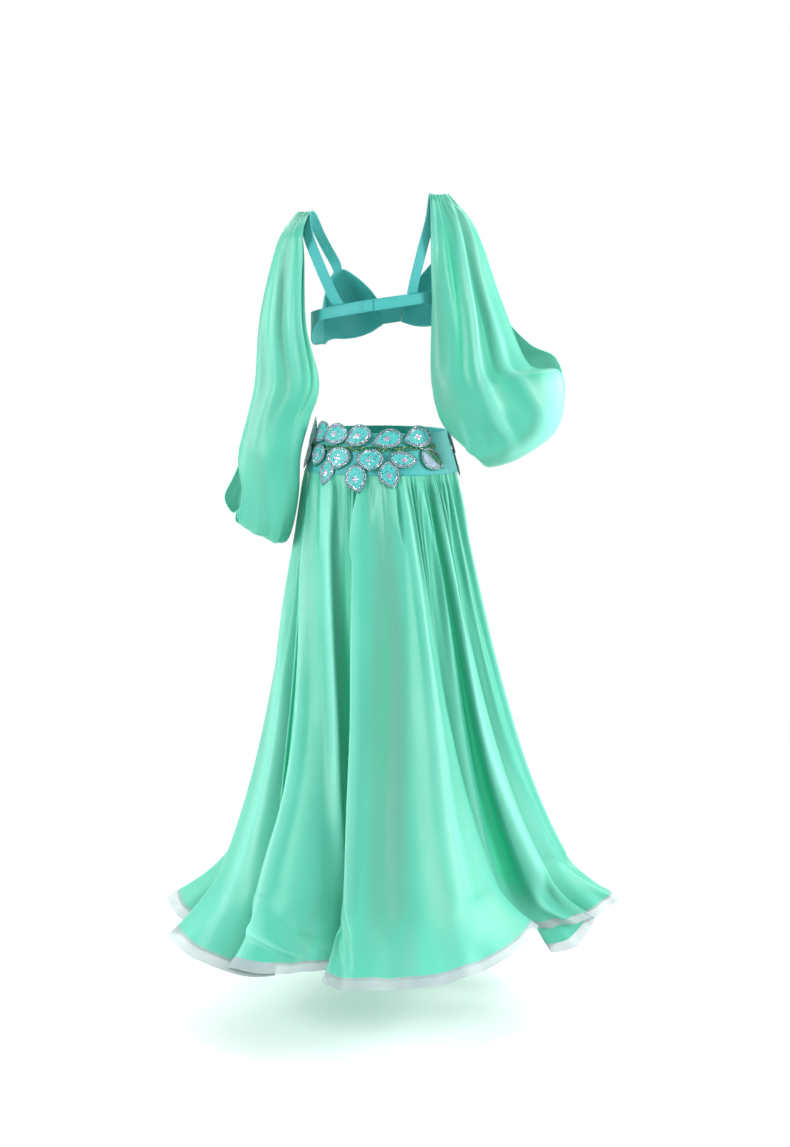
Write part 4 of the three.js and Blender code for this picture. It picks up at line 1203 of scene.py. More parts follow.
@dataclass
class Effects:
    """Effects that several finishes share, each a node group built once."""

    groups: dict[str, bpy.types.NodeTree] = field(default_factory=dict)

    def start(self, name: str, inputs: dict[str, object]) -> tuple[Graph, dict[str, Socket]]:
        """Makes a group with its inputs.

        Args:
            name: Name of the group.
            inputs: First value of each: a colour, a number, or None for a vector.

        Returns:
            Its graph, and its input sockets by name.
        """
        tree = bpy.data.node_groups.new(name, "ShaderNodeTree")
        for label, value in inputs.items():
            kind = "Vector" if value is None else "Color" if isinstance(value, tuple) else "Float"
            socket = tree.interface.new_socket(
                name=label, in_out="INPUT", socket_type=f"NodeSocket{kind}")
            if value is not None:
                socket.default_value = value
        self.groups[name] = tree
        given = tree.nodes.new("NodeGroupInput").outputs
        return Graph(tree), {label: given[label] for label in inputs}

    def end(self, graph: Graph, **outputs: Socket) -> None:
        """Gives a group its outputs: a colour by the name Colour, numbers by any other.

        Args:
            graph: The wired group.
            outputs: The socket that feeds each output.
        """
        for label in outputs:
            kind = "Color" if label == "Colour" else "Float"
            graph.tree.interface.new_socket(
                name=label, in_out="OUTPUT", socket_type=f"NodeSocket{kind}")
        leave = graph.tree.nodes.new("NodeGroupOutput")
        for label, source in outputs.items():
            graph.link(source, leave.inputs[label])

    def use(self, graph: Graph, name: str, values: dict[str, object]) -> Node:
        """Places a shared effect in a material and gives its node."""
        return graph.node("Group", values, node_tree=self.groups[name])

    def build(self) -> None:
        """Makes every shared effect."""
        self.woven_threads()
        self.soft_crush()
        self.tone_drift()
        self.fold_tones()
        self.mesh_net()

    def woven_threads(self) -> None:
        """Fine crossing threads: a height and a mask, from lengths in metres."""
        graph, given = self.start(
            "woven_threads", {"Lengths": None, "Across": 2500.0, "Along": 2500.0})
        x, y, _ = graph.parts(given["Lengths"])
        weft = graph.math("SINE", graph.math("MULTIPLY", x, given["Across"]))
        warp = graph.math("SINE", graph.math("MULTIPLY", y, given["Along"]))
        height = graph.math("MAXIMUM", weft, warp)
        self.end(graph, Height=height, Threads=graph.math("MULTIPLY_ADD", height, 0.5, 0.5))

    def soft_crush(self) -> None:
        """Small soft unevenness of limp cloth, drawn out along its fall."""
        graph, given = self.start(
            "soft_crush", {"Lengths": None, "Scale": 18.0, "Drawn out": 0.25})
        x, y, _ = graph.parts(given["Lengths"])
        long = graph.math("MULTIPLY", y, given["Drawn out"])
        place = graph.node("CombineXYZ", {0: x, 1: long}).outputs[0]
        self.end(graph, Height=graph.noise(place, given["Scale"], Detail=2.0, Roughness=0.45))

    def tone_drift(self) -> None:
        """A slow drift between two tones of one colour."""
        graph, given = self.start(
            "tone_drift", {"Lengths": None, "Scale": 4.0, "Tone": WHITE, "Other tone": WHITE})
        noise = graph.noise(given["Lengths"], given["Scale"], Detail=3.0)
        share = graph.ranged(noise, 0.35, 0.65)
        colour = graph.blend(share, given["Tone"], given["Other tone"])
        self.end(graph, Colour=colour, Mask=share)

    def fold_tones(self) -> None:
        """Painted fold light: cloth made darker and greener in troughs (painted shade, which also stands
        for the cloth doubling there), paler on ridges (painted highlight), and greyer where it looks
        see-through or lies under stones and in faint random streaks (painted shade).
        """
        graph, given = self.start(
            "fold_tones", {"Marks": None, "Lengths": None, "Tone": WHITE, "Deep": BLACK,
                           "Ridge": WHITE, "Sheer": WHITE})
        height, patch_shade, _ = graph.parts(given["Marks"])
        drawn = graph.node("Mapping", {"Vector": given["Lengths"], "Scale": (22.0, 1.6, 1.0)})
        # Painted shade: greyer where the cloth looks see-through or lies under stones, and in random
        # streaks.
        streak = graph.ranged(graph.noise(drawn.outputs[0], 1.0, Detail=2.0), 0.42, 0.68, 0.0, 0.42)
        colour = graph.blend(graph.math("MAXIMUM", patch_shade, streak), given["Tone"], given["Sheer"])
        # Painted highlight on ridges, then painted shade in troughs.
        colour = graph.blend(graph.ranged(height, 0.55, 0.95, 0.0, 0.75), colour, given["Ridge"])
        deep = graph.ranged(height, 0.42, 0.05, 0.0, 0.95, "SMOOTHSTEP")
        self.end(graph, Colour=graph.blend(deep, colour, given["Deep"]))

    def mesh_net(self) -> None:
        """Slanting threads of an open braid: how much of the cloth is thread."""
        graph, given = self.start("mesh_net", {"Lengths": None, "Pitch": 2600.0, "Least": 0.45})
        x, y, _ = graph.parts(given["Lengths"])
        threads = [graph.math("SINE", graph.math("MULTIPLY", graph.math(way, x, y), given["Pitch"]))
                   for way in ("ADD", "SUBTRACT")]
        cover = graph.ranged(graph.math("MAXIMUM", *threads), -0.5, 0.8, given["Least"])
        self.end(graph, Cover=cover)


def new_material(name: str) -> tuple[Material, Graph, Node]:
    """Makes an empty material.

    Args:
        name: Name of the material.

    Returns:
        The material, its graph and its output node.
    """
    material = bpy.data.materials.new(name)
    material.use_nodes = True
    material.node_tree.nodes.clear()
    graph = Graph(material.node_tree)
    return material, graph, graph.node("OutputMaterial")


@dataclass(frozen=True)
class TonedFinish:
    """A finish whose colour drifts between two tones."""

    name: str
    tone: str
    other_tone: str
    drift_scale: ClassVar[float] = 5.0

    def build(self, effects: Effects) -> Material:
        """Wires the material.

        Args:
            effects: The shared effects.

        Returns:
            The material.
        """
        material, graph, output = new_material(self.name)
        lengths = graph.layer("lengths")
        drift = effects.use(graph, "tone_drift", {
            "Lengths": lengths, "Scale": self.drift_scale, "Tone": linear(self.tone),
            "Other tone": linear(self.other_tone)})
        shader = self.shaded(effects, graph, lengths, drift.outputs["Colour"])
        graph.link(shader, output.inputs[0])
        return material

    def shaded(self, effects: Effects, graph: Graph, lengths: Socket, colour: Socket) -> Socket:
        """The finish's own shader, over the drifting colour.

        Args:
            effects: The shared effects.
            graph: The material's graph.
            lengths: Lengths over the cloth in metres.
            colour: The drifting colour.

        Returns:
            The shader's output.
        """
        raise NotImplementedError


@dataclass(frozen=True)
class ClothFinish(TonedFinish):
    """A woven or knitted cloth, which may let some light through and carry painted shade and highlight on
    its folds.
    """

    roughness: float
    sheen: float
    specular: float
    threads: float
    thread_depth: float
    crush_scale: float
    crush_depth: float
    deep_tone: str = ""
    ridge_tone: str = ""
    sheer_tone: str = ""
    through: float = 0.0
    through_tone: str = ""

    def shaded(self, effects: Effects, graph: Graph, lengths: Socket, colour: Socket) -> Socket:
        """Threads, soft crush and sheen, with some light from behind."""
        # Painted shade in troughs and where the cloth looks see-through or lies under stones, and painted
        # highlight on ridges, mixed into the base colour.
        if self.deep_tone:
            colour = effects.use(graph, "fold_tones", {
                "Marks": graph.layer("marks"), "Lengths": lengths, "Tone": colour,
                "Deep": linear(self.deep_tone), "Ridge": linear(self.ridge_tone),
                "Sheer": linear(self.sheer_tone)}).outputs["Colour"]
        weave = effects.use(graph, "woven_threads", {
            "Lengths": lengths, "Across": self.threads, "Along": self.threads}).outputs
        crush = effects.use(graph, "soft_crush", {"Lengths": lengths, "Scale": self.crush_scale})
        fine = graph.bump(weave["Height"], self.thread_depth, 0.35)
        normal = graph.bump(crush.outputs["Height"], self.crush_depth, 1.0, Normal=fine)
        rough = graph.ranged(weave["Threads"], 0.0, 1.0, self.roughness + 0.06,
                             self.roughness - 0.04)
        shader = graph.node("BsdfPrincipled", {
            "Base Color": colour, "Roughness": rough, "Normal": normal,
            "Sheen Weight": self.sheen, "Sheen Roughness": SHEEN_ROUGHNESS,
            "Sheen Tint": linear(SHEEN_TONE), "Specular IOR Level": self.specular})
        if not self.through_tone:
            return shader.outputs[0]
        behind = graph.node("BsdfTranslucent",
                            {"Color": linear(self.through_tone), "Normal": normal})
        return graph.shade_between(self.through, shader, behind)


@dataclass(frozen=True)
class BraidFinish(TonedFinish):
    """Open horsehair braid: shiny slanting threads with gaps between."""

    least: float
    drift_scale: ClassVar[float] = 12.0

    def shaded(self, effects: Effects, graph: Graph, lengths: Socket, colour: Socket) -> Socket:
        """Threads that cover only part of the braid."""
        net = effects.use(graph, "mesh_net", {"Lengths": lengths, "Least": self.least})
        cover = net.outputs["Cover"]
        return graph.node("BsdfPrincipled", {
            "Base Color": colour, "Roughness": 0.42, "Normal": graph.bump(cover, 0.0002, 0.5),
            "Alpha": cover, "Specular IOR Level": 0.4, "Sheen Weight": 0.1}).outputs[0]


@dataclass(frozen=True)
class StoneFinish(TonedFinish):
    """Foiled glass: bright, sharp and a little coloured."""

    metallic: float = 0.6
    roughness: float = 0.3
    drift_scale: ClassVar[float] = 260.0

    def shaded(self, effects: Effects, graph: Graph, lengths: Socket, colour: Socket) -> Socket:
        """Foil under a thin clear coat."""
        return graph.node("BsdfPrincipled", {
            "Base Color": colour, "Metallic": self.metallic, "Roughness": self.roughness,
            "Coat Weight": 0.3, "Coat Roughness": 0.06}).outputs[0]


class Finish(Enum):
    """Every finish of the dress."""

    # The satin's last three tones are painted light: shade in troughs, highlight on ridges, and a grey
    # shade where the dark inside shows through.
    SATIN = ClothFinish(
        "mint_satin", "#47AC92", "#54B69D", 0.4, 0.24, 0.38, 14000.0, 0.00004, 15.0, 0.0016,
        deep_tone="#00C48E", ridge_tone="#9AEAD8", sheer_tone="#5F9686",
        through=0.14, through_tone="#7FE6CC")
    HEM_SATIN = ClothFinish(
        "satin_rolled_hem", "#5CC4AC", "#6CD0B8", 0.45, 0.2, 0.5, 14000.0, 0.00004, 30.0, 0.0004)
    STRETCH = ClothFinish(
        "turquoise_stretch", "#389A98", "#41A5A1", 0.6, 0.25, 0.35, 5200.0, 0.0001, 40.0, 0.0006)
    # The leaf's last three tones are painted light; the darkest is painted shade in the band under its
    # stones.
    LEAF = ClothFinish(
        "leaf_cloth", "#3BA3A1", "#4FB5B0", 0.5, 0.25, 0.4, 7000.0, 0.0001, 160.0, 0.0008,
        deep_tone="#2C8F90", ridge_tone="#6AD2CF", sheer_tone="#1E6468")
    THREAD = ClothFinish(
        "turquoise_thread", "#2B8B8C", "#379B9A", 0.6, 0.1, 0.3, 9000.0, 0.00005, 200.0, 0.0001)
    CORD = ClothFinish(
        "leaf_edge_cord", "#1F6E5C", "#33896E", 0.5, 0.2, 0.4, 5000.0, 0.0001, 200.0, 0.0001)
    BRAID = BraidFinish("horsehair_braid", "#8A9A9B", "#A4B2B3", 0.36)
    SILVER_STONE = StoneFinish("silver_stone", "#E6E4EE", "#B4B2C6")
    LILAC_STONE = StoneFinish("lilac_stone", "#CDBCE0", "#9C8EC2")
    PINK_STONE = StoneFinish("pink_stone", "#E0AECC", "#C08CB0")
    GREEN_STONE = StoneFinish("sea_green_stone", "#74B8A2", "#3E9880")
    WHITE_STONE = StoneFinish("white_stone", "#E4E8EC", "#B4C0C8", 0.7)
    TEAL_STONE = StoneFinish("dark_teal_stone", "#1E6A68", "#0F4A50", 0.5)
    GREEN_BEAD = StoneFinish("green_bead", "#2F8A5C", "#1F6B48", 0.35, 0.24)
    GOLD_BEAD = StoneFinish("pale_gold_bead", "#C8D89A", "#A8B870", 0.7, 0.2)


@dataclass
class Wardrobe:
    """The finishes as materials."""

    effects: Effects
    made: dict[Finish, Material] = field(default_factory=dict)

    def get(self, *finishes: Finish) -> list[Material]:
        """The materials of finishes, each built when it is first asked for."""
        for finish in finishes:
            if finish not in self.made:
                self.made[finish] = finish.value.build(self.effects)
        return [self.made[finish] for finish in finishes]


# ---------- skirt ----------


@dataclass
class Skirt:
    """The gathered gored skirt with braid in its hem."""

    wardrobe: Wardrobe
    steps_per_column: int = 5
    rows_high: int = 84
    rows_low: int = 46
    satin_end: float = 1.9
    seed: int = 11
    strength: float = 1.3
    full_from: float = 60.0
    full_to: float = 96.0
    gather_width: Span = (0.3, 0.75)
    gather_depth: Span = (1.2, 3.4)
    gather_gap: Span = (1.8, 3.0)
    gather_drift: float = 0.6
    outward_share: float = 0.6
    full_gain: float = 1.3
    short_share: float = 0.6
    full_short_share: float = 0.3
    short_end: Span = (0.08, 0.25)
    long_end: Span = (0.25, 0.75)
    knee_reach: float = 0.3
    knee_even: float = 0.05
    seam_hold: float = 0.4
    seam_ease: float = 0.04
    ripple: float = 1.8
    ripple_from: float = 1.5
    braid_lift: float = 0.45
    braid_rows: int = 9
    folds: Folds = SKIRT_FOLDS
    body: Folds = SKIRT_BODY
    sheers: Folds = SKIRT_SHEER_SHADES
    painted_highlights: Folds = SKIRT_PAINTED_HIGHLIGHTS
    lifts: Folds = SKIRT_LIFTS

    def fine_gathers(self) -> list[Fold]:
        """Small gathers under the yoke, uneven in length, depth and spacing.

        Returns:
            One fold for each gather, all round the skirt.
        """
        rng = np.random.default_rng(self.seed)
        gathers: list[Fold] = []
        column = 0.0
        while column < ROUND:
            width = rng.uniform(*self.gather_width)
            is_full = self.full_from < column < self.full_to
            depth = rng.uniform(*self.gather_depth)
            depth = depth * (1 if rng.random() < self.outward_share else -1)
            depth = depth * (self.full_gain if is_full else 1.0)
            is_short = rng.random() < (self.full_short_share if is_full else self.short_share)
            end = rng.uniform(*(self.short_end if is_short else self.long_end))
            last = column + rng.uniform(-self.gather_drift, self.gather_drift)
            gathers.append(Fold((
                (-0.02, column, depth, width),
                (end / 2, (column + last) / 2, depth, width * 1.1), (end, last, 0, width * 1.3))))
            column += width * rng.uniform(*self.gather_gap)
        return gathers

    def ripples(self, across: Array) -> Array:
        """Uneven ripples of the hem, in millimetres out of the cloth."""
        wide = np.sin(across * 1.9 + 0.8 * np.sin(across * 0.37))
        return (wide + 0.6 * np.sin(across * 3.1 + 1.0)) * self.ripple

    def cloth(self, first: float, last: float, levels: Array) -> Sheet:
        """The skirt's cloth between two columns.

        Args:
            first: Column of one edge.
            last: Column of the other.
            levels: Levels of its rows.

        Returns:
            The sheet with its gathers and folds.
        """
        columns = np.linspace(first, last, int(round((last - first) * self.steps_per_column)) + 1)
        margin = 1 / self.steps_per_column
        wide = np.r_[first - margin, columns, last + margin]
        across, along = np.meshgrid(wide, levels)

        def height(folds: Folds) -> Array:
            """How far folds stand out over this cloth."""
            return relief(folds, across, along, ROUND)[..., 0]

        flat = lay(skirt_point, wide, levels, -1)
        flat.points[..., 2] += height(self.lifts)
        near = smooth(1 - abs(along - 1) / self.knee_reach)[..., None]
        even = evened(flat.normals, flat.lengths[:, 0, 1], self.knee_even)
        flat.normals = unit(mix(flat.normals, even, near))
        moved = relief(self.fine_gathers(), across, along, ROUND)
        moved = moved + relief(self.folds, across, along, ROUND) * self.strength
        moved = moved * mix(self.seam_hold, 1.0, smooth(along / self.seam_ease))[..., None]
        low = smooth((along - self.ripple_from) / (2.0 - self.ripple_from))
        out = moved[..., 0] + height(self.body) + self.ripples(across) * low
        full = flat.raised(out, moved[..., 1])
        # Painted shade and highlight: fold height plus the painted highlights, and the shade where the
        # cloth looks see-through.
        full.marks = painted_light_marks(moved[..., 0] + height(self.painted_highlights), height(self.sheers))
        return full.trimmed()

    def build(self) -> None:
        """Makes the eight gores and their braid."""
        low = np.linspace(1, self.satin_end, self.rows_low)[1:]
        levels = np.r_[np.linspace(0, 1, self.rows_high), low]
        ends = GORE_SEAMS[1:] + (GORE_SEAMS[0] + ROUND,)
        for gore, (first, last) in enumerate(zip(GORE_SEAMS, ends), 1):
            satin = self.cloth(first, last, levels)
            pieces = Pieces()
            pieces.add_sheet(satin)
            pieces.build_sheet(f"skirt_gore_{gore}", satin, self.wardrobe.get(Finish.SATIN),
                               Slot.SATIN)
            braid = self.cloth(first, last, np.linspace(BRAID_START, 2.0, self.braid_rows))
            braid = braid.raised(self.braid_lift)
            pieces = Pieces()
            pieces.add_sheet(braid)
            pieces.build_sheet(f"hem_braid_{gore}", braid, self.wardrobe.get(Finish.BRAID),
                               Slot.BRAID)


# ---------- sleeves ----------


@dataclass
class Sleeve:
    """One slit sleeve: a back panel, a front panel and a gathered cuff."""

    wardrobe: Wardrobe
    side: Side
    sections: tuple[Section, ...]
    back_folds: Folds
    front_folds: Folds
    sheers: Folds
    columns: int = 84
    rows_per_section: int = 16
    seed: int = 3
    strength: float = 1.5
    painted_highlights: Folds = ()
    gather_pitch: float = 0.09
    gather_drift: float = 0.025
    strap_depth: Span = (0.8, 2.0)
    strap_reach: Span = (0.9, 2.4)
    cuff_depth: Span = (1.0, 2.2)
    cuff_reach: Span = (1.0, 2.6)
    fold_hold: float = 0.04
    painted_light_gain: float = 1.3
    hem_radius: float = 0.9
    cuff_wall: float = 1.0
    cuff_rows: int = 9
    puckers: int = 24
    pucker_depth: float = 0.8
    cuff_fullness: float = 1.03

    def edge_turn(self, panel: Panel, row: Array) -> Array:
        """Where a panel's free edge stands, in degrees from the slit line."""
        values = [cut.back if panel is Panel.BACK else cut.front for cut in self.sections]
        return spline(np.array(values, float), row)

    def point(self, panel: Panel, share: Array, row: Array) -> Array:
        """A point of a panel: share 0 at its free edge, 1 at the fold."""
        turn = mix(self.edge_turn(panel, row), 180.0, share)
        return sleeve_point(self.sections, turn if panel is Panel.BACK else 360.0 - turn, row)

    def end_gathers(self, panel: Panel) -> list[Fold]:
        """Gathers that fan out below the strap and above the cuff.

        Args:
            panel: The panel that they are in.

        Returns:
            One fold for each.
        """
        rng = np.random.default_rng(self.seed + (0 if panel is Panel.BACK else 7) + self.side.value)
        last = len(self.sections) - 1
        gathers: list[Fold] = []
        for at in np.arange(0.05, 0.97, self.gather_pitch):
            place = at + rng.uniform(-self.gather_drift, self.gather_drift)
            end = rng.uniform(*self.strap_reach)
            gathers.append(Fold((
                (-0.1, place, rng.uniform(*self.strap_depth), 0.022), (end / 2, place, 0.9, 0.028),
                (end, place + rng.uniform(-0.03, 0.03), 0, 0.034))))
            start = last - rng.uniform(*self.cuff_reach)
            gathers.append(Fold((
                (start, place, 0, 0.04), (last - 0.5, place, 1.2, 0.03),
                (last + 0.1, place, rng.uniform(*self.cuff_depth), 0.026))))
        return gathers

    def panel_sheet(self, panel: Panel) -> Sheet:
        """The cloth of one panel with its folds.

        Args:
            panel: Which panel.

        Returns:
            The sheet.
        """
        last = len(self.sections) - 1
        rows = np.linspace(0, last, last * self.rows_per_section + 1)
        share = np.linspace(0, 1, self.columns)
        facing = -self.side.value * panel.value
        flat = lay(lambda a, b: self.point(panel, a, b), share, rows, facing)
        across, along = np.meshgrid(share, rows)
        folds = self.back_folds if panel is Panel.BACK else self.front_folds
        gathers = relief(self.end_gathers(panel), across, along)
        moved = relief(folds, across, along) * self.strength + gathers
        moved = moved * smooth((1 - across) / self.fold_hold)[..., None]
        made = flat.raised(moved[..., 0], moved[..., 1])
        # Painted shade and highlight: fold height, strengthened, plus the painted highlights, and the
        # shade where the cloth looks see-through.
        height = moved[..., 0] * self.painted_light_gain + relief(self.painted_highlights, across, along)[..., 0]
        made.marks = painted_light_marks(height, relief(self.sheers, across, along)[..., 0])
        return made

    def build(self) -> None:
        """Makes both panels, their rolled hems and the cuff."""
        label = "left" if self.side is Side.LEFT else "right"
        for panel in Panel:
            node = f"sleeve_{label}_{panel.name.lower()}"
            sheet = self.panel_sheet(panel)
            pieces = Pieces()
            pieces.add_sheet(sheet)
            pieces.add_tube(sheet.points[:, 0], sheet.normals[:, 0], self.hem_radius, 1)
            pieces.build_sheet(node, sheet, self.wardrobe.get(Finish.SATIN, Finish.HEM_SATIN),
                               Slot.SATIN)
        self.cuff(label)

    def cuff(self, label: str) -> None:
        """Makes the gathered band at the wrist.

        Args:
            label: left or right.
        """
        last = len(self.sections) - 1
        turns = np.linspace(0, 360, 97)[:-1]

        def surface(turn: Array, down: Array) -> Array:
            """A point of the cuff, down millimetres past the sleeve's end."""
            row = np.full_like(turn, float(last))
            edge = sleeve_point(self.sections, turn % 360, row)
            before = sleeve_point(self.sections, turn % 360, row - 0.1)
            return edge + unit(edge - before) * down[..., None]

        down = np.linspace(0, 1, self.cuff_rows)
        flat = lay(surface, turns, np.linspace(0, CUFF_HEIGHT, self.cuff_rows), -self.side.value)
        across, along = np.meshgrid(turns, down)
        pucker = self.pucker_depth * np.sin(np.radians(across * self.puckers))
        sheet = flat.raised(pucker * np.sin(math.pi * along))
        pieces = Pieces()
        pieces.add_wall(sheet, self.cuff_wall, True)
        node = f"sleeve_{label}_cuff"
        band = pieces.build(f"{node}_cloth", self.wardrobe.get(Finish.SATIN), Slot.SATIN)
        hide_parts(node)
        wide, long = sheet.cut_size()
        LOG.info("%s", band.name)


# ---------- bra top ----------


@dataclass
class BraTop:
    """Padded cups, bridge, hooked wings and shoulder straps."""

    wardrobe: Wardrobe
    wall: float = 1.8
    cup_wall: float = 3.0
    seam_in: float = 3.2
    cup_seam_depth: float = 0.9
    cup_seam_width: float = 0.02
    binding: float = 0.5
    hook_half: float = 8.0
    hook_out: float = 0.3

    def stitch_rows(self, pieces: Pieces, sheet: Sheet, along_rows: bool) -> None:
        """Sews a row of stitches inside both long edges of a band.

        Args:
            pieces: The band's mesh.
            sheet: The band's middle cloth.
            along_rows: True where the long edges are the first and last rows.
        """
        points, normals = (values if along_rows else values.swapaxes(0, 1)
                           for values in (sheet.points, sheet.normals))
        width = np.linalg.norm(points[-1] - points[0], axis=-1)
        for end in (0, -1):
            share = (self.seam_in / width)[:, None]
            share = share if end == 0 else 1 - share
            path = mix(points[0], points[-1], share) + normals[0] * (self.wall / 2 + STITCH_OUT)
            sew(pieces, path, normals[0])

    def band(self, node: str, surface: Surface, across: Array, along: Array, facing: int,
             rests_on: list[str], along_rows: bool = True) -> None:
        """Makes one flat stretch piece with its stitching.

        Args:
            node: The CAD node that it stands for.
            surface: Its middle cloth.
            across: Places across.
            along: Places along.
            facing: Side of its normals.
            rests_on: What it is sewn to; not used.
            along_rows: True where its long edges are its first and last rows.
        """
        sheet = lay(surface, across, along, facing)
        pieces = Pieces()
        pieces.add_wall(sheet, self.wall)
        self.stitch_rows(pieces, sheet, along_rows)
        pieces.build_sheet(node, sheet, self.wardrobe.get(Finish.STRETCH, Finish.THREAD),
                           Slot.STRETCH)

    def cup(self, side: Side) -> None:
        """Makes a padded cup with a bound upper edge and a seam over its crown.

        Args:
            side: The side it is on.
        """
        label = side.name.lower()
        rise = np.linspace(0, 1, 33)
        sheet = lay(lambda a, b: cup_point(side, a, b), np.linspace(0.008, 0.992, 49), rise,
                    -side.value)
        across, along = np.meshgrid(np.linspace(0, 1, 49), rise)
        from_seam = along - 0.5 - 0.08 * np.sin(math.pi * across)
        seam = np.exp(-((from_seam / self.cup_seam_width) ** 2))
        sheet = sheet.raised(-self.cup_seam_depth * seam)
        pieces = Pieces()
        pieces.add_wall(sheet, self.cup_wall)
        radius = self.cup_wall / 2 + self.binding
        for row in (0, -1):
            pieces.add_tube(sheet.points[row], sheet.normals[row], radius, 0, 8)
        cloths = self.wardrobe.get(Finish.STRETCH, Finish.THREAD)
        made = pieces.build(f"bra_cup_{label}_pad", cloths, Slot.STRETCH)
        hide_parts(f"bra_cup_{label}")
        LOG.info("%s", made.name)

    def strap(self, side: Side) -> None:
        """Makes a shoulder strap whose ends stand on the wing and on the cup.

        Args:
            side: The side it is on.
        """
        label = side.name.lower()
        route = STRAPS[side]
        stations = np.array(route.stations, float)
        last = len(stations) - 1
        inside = np.array([side.value * 60.0, 0.0, -120.0])
        s = side.value

        def centre(row: Array) -> Array:
            """The strap's middle line before the shoulder's slope."""
            return np.stack([spline(stations[:, k], row) for k in range(3)], axis=-1)

        def ribbon(across: Array, row: Array) -> Array:
            """The ribbon over the shoulder."""
            middle = centre(row)
            run = centre(row + 0.05) - centre(row - 0.05)
            offset = unit(np.cross(run, middle - inside)) * (across * STRAP_WIDTH / 2)[..., None]
            point = middle + offset
            point[..., 2] += SHOULDER_TILT * point[..., 0]
            return point

        def surface(across: Array, row: Array) -> Array:
            """The ribbon with both ends drawn onto the edges that they are sewn to."""
            on_wing = wing_point(side, route.wing + s * across * route.wing_half, 1.0)
            on_cup = cup_point(side, route.cup - s * across * route.cup_half, np.ones_like(row))
            to_wing = on_wing - ribbon(across, np.zeros_like(row))
            to_cup = on_cup - ribbon(across, np.full_like(row, float(last)))
            to_wing[..., 2] += route.clear
            to_cup[..., 2] += route.cup_clear
            near = np.clip(1 - row, 0, None) ** 2
            far = np.clip(1 - last + row, 0, None) ** 2
            return ribbon(across, row) + to_wing * near[..., None] + to_cup * far[..., None]

        self.band(f"bra_strap_{label}", surface, np.linspace(-1, 1, 9), np.linspace(0, last, 97),
                  -1, [f"bra_wing_{label}_cloth", f"bra_cup_{label}_pad"], False)

    def build(self) -> None:
        """Makes every piece of the bra top."""
        whole = np.linspace(0, 1, 9)
        for side in Side:
            label = side.name.lower()
            self.cup(side)
            self.band(f"bra_wing_{label}", lambda a, b, s=side: wing_point(s, a, b),
                      np.linspace(0.002, 0.998, 81), whole, side.value, [f"bra_cup_{label}_pad"])
            self.strap(side)
        low, high = CUP_ROWS[0][1], CUP_ROWS[0][2]
        self.band("bra_bridge", lambda a, b: torso_point(-90 + a, mix(low, high, b)),
                  np.linspace(-8.2, 8.2, 21), whole, 1, ["bra_cup_left_pad", "bra_cup_right_pad"])
        out = self.wall + self.hook_out
        turn = math.degrees(self.hook_half / TORSO.across)
        self.band("bra_hook_tab", lambda a, b: torso_point(a, mix(*WING_HOOK, b), out),
                  np.linspace(90 - turn, 90 + turn, 13), np.linspace(0.04, 0.96, 9), 1,
                  ["bra_wing_left_cloth", "bra_wing_right_cloth"])


# ---------- belt ----------


STONES = (
    Finish.SILVER_STONE, Finish.LILAC_STONE, Finish.PINK_STONE, Finish.GREEN_STONE,
    Finish.WHITE_STONE, Finish.TEAL_STONE, Finish.GREEN_BEAD, Finish.GOLD_BEAD,
)
SILVER, LILAC, PINK, GREEN, CLEAR, TEAL, BEAD, GOLD = range(len(STONES))


@dataclass
class Yoke:
    """The plain stretch yoke that the skirt hangs from."""

    wardrobe: Wardrobe
    fold_down: float = 9.0
    fold_lift: float = 0.7
    soft: float = 0.35
    stitch_out: float = 0.15

    def build(self) -> None:
        """Makes both halves with the turned top edge and its stitches."""
        materials = self.wardrobe.get(Finish.STRETCH, Finish.THREAD)
        for node, start, end in (("yoke_back", 0.0, 180.0), ("yoke_front", 180.0, 360.0)):
            levels = np.linspace(YOKE_TOP.z, YOKE_SEAM.z + 0.3, 31)
            az = np.linspace(start + 0.08, end - 0.08, 121)
            sheet = lay(hip_point, az, levels, -1)
            across, along = np.meshgrid(az, levels)
            soft = self.soft * np.sin(np.radians(across * 7))
            soft = soft * np.sin(along * 0.11 + np.radians(across * 3))
            turned = self.fold_lift * (1 - smooth((YOKE_TOP.z - along - self.fold_down) / 1.2))
            sheet = sheet.raised(soft + turned)
            pieces = Pieces()
            pieces.add_wall(sheet, YOKE_WALL)
            for z in (YOKE_TOP.z - self.fold_down + 1.5, YOKE_SEAM.z + 3.0):
                row = int(np.argmin(abs(levels - z)))
                out = sheet.normals[row]
                sew(pieces, sheet.points[row] + out * (YOKE_WALL / 2 + self.stitch_out), out)
            pieces.build_sheet(node, sheet, materials, Slot.STRETCH)


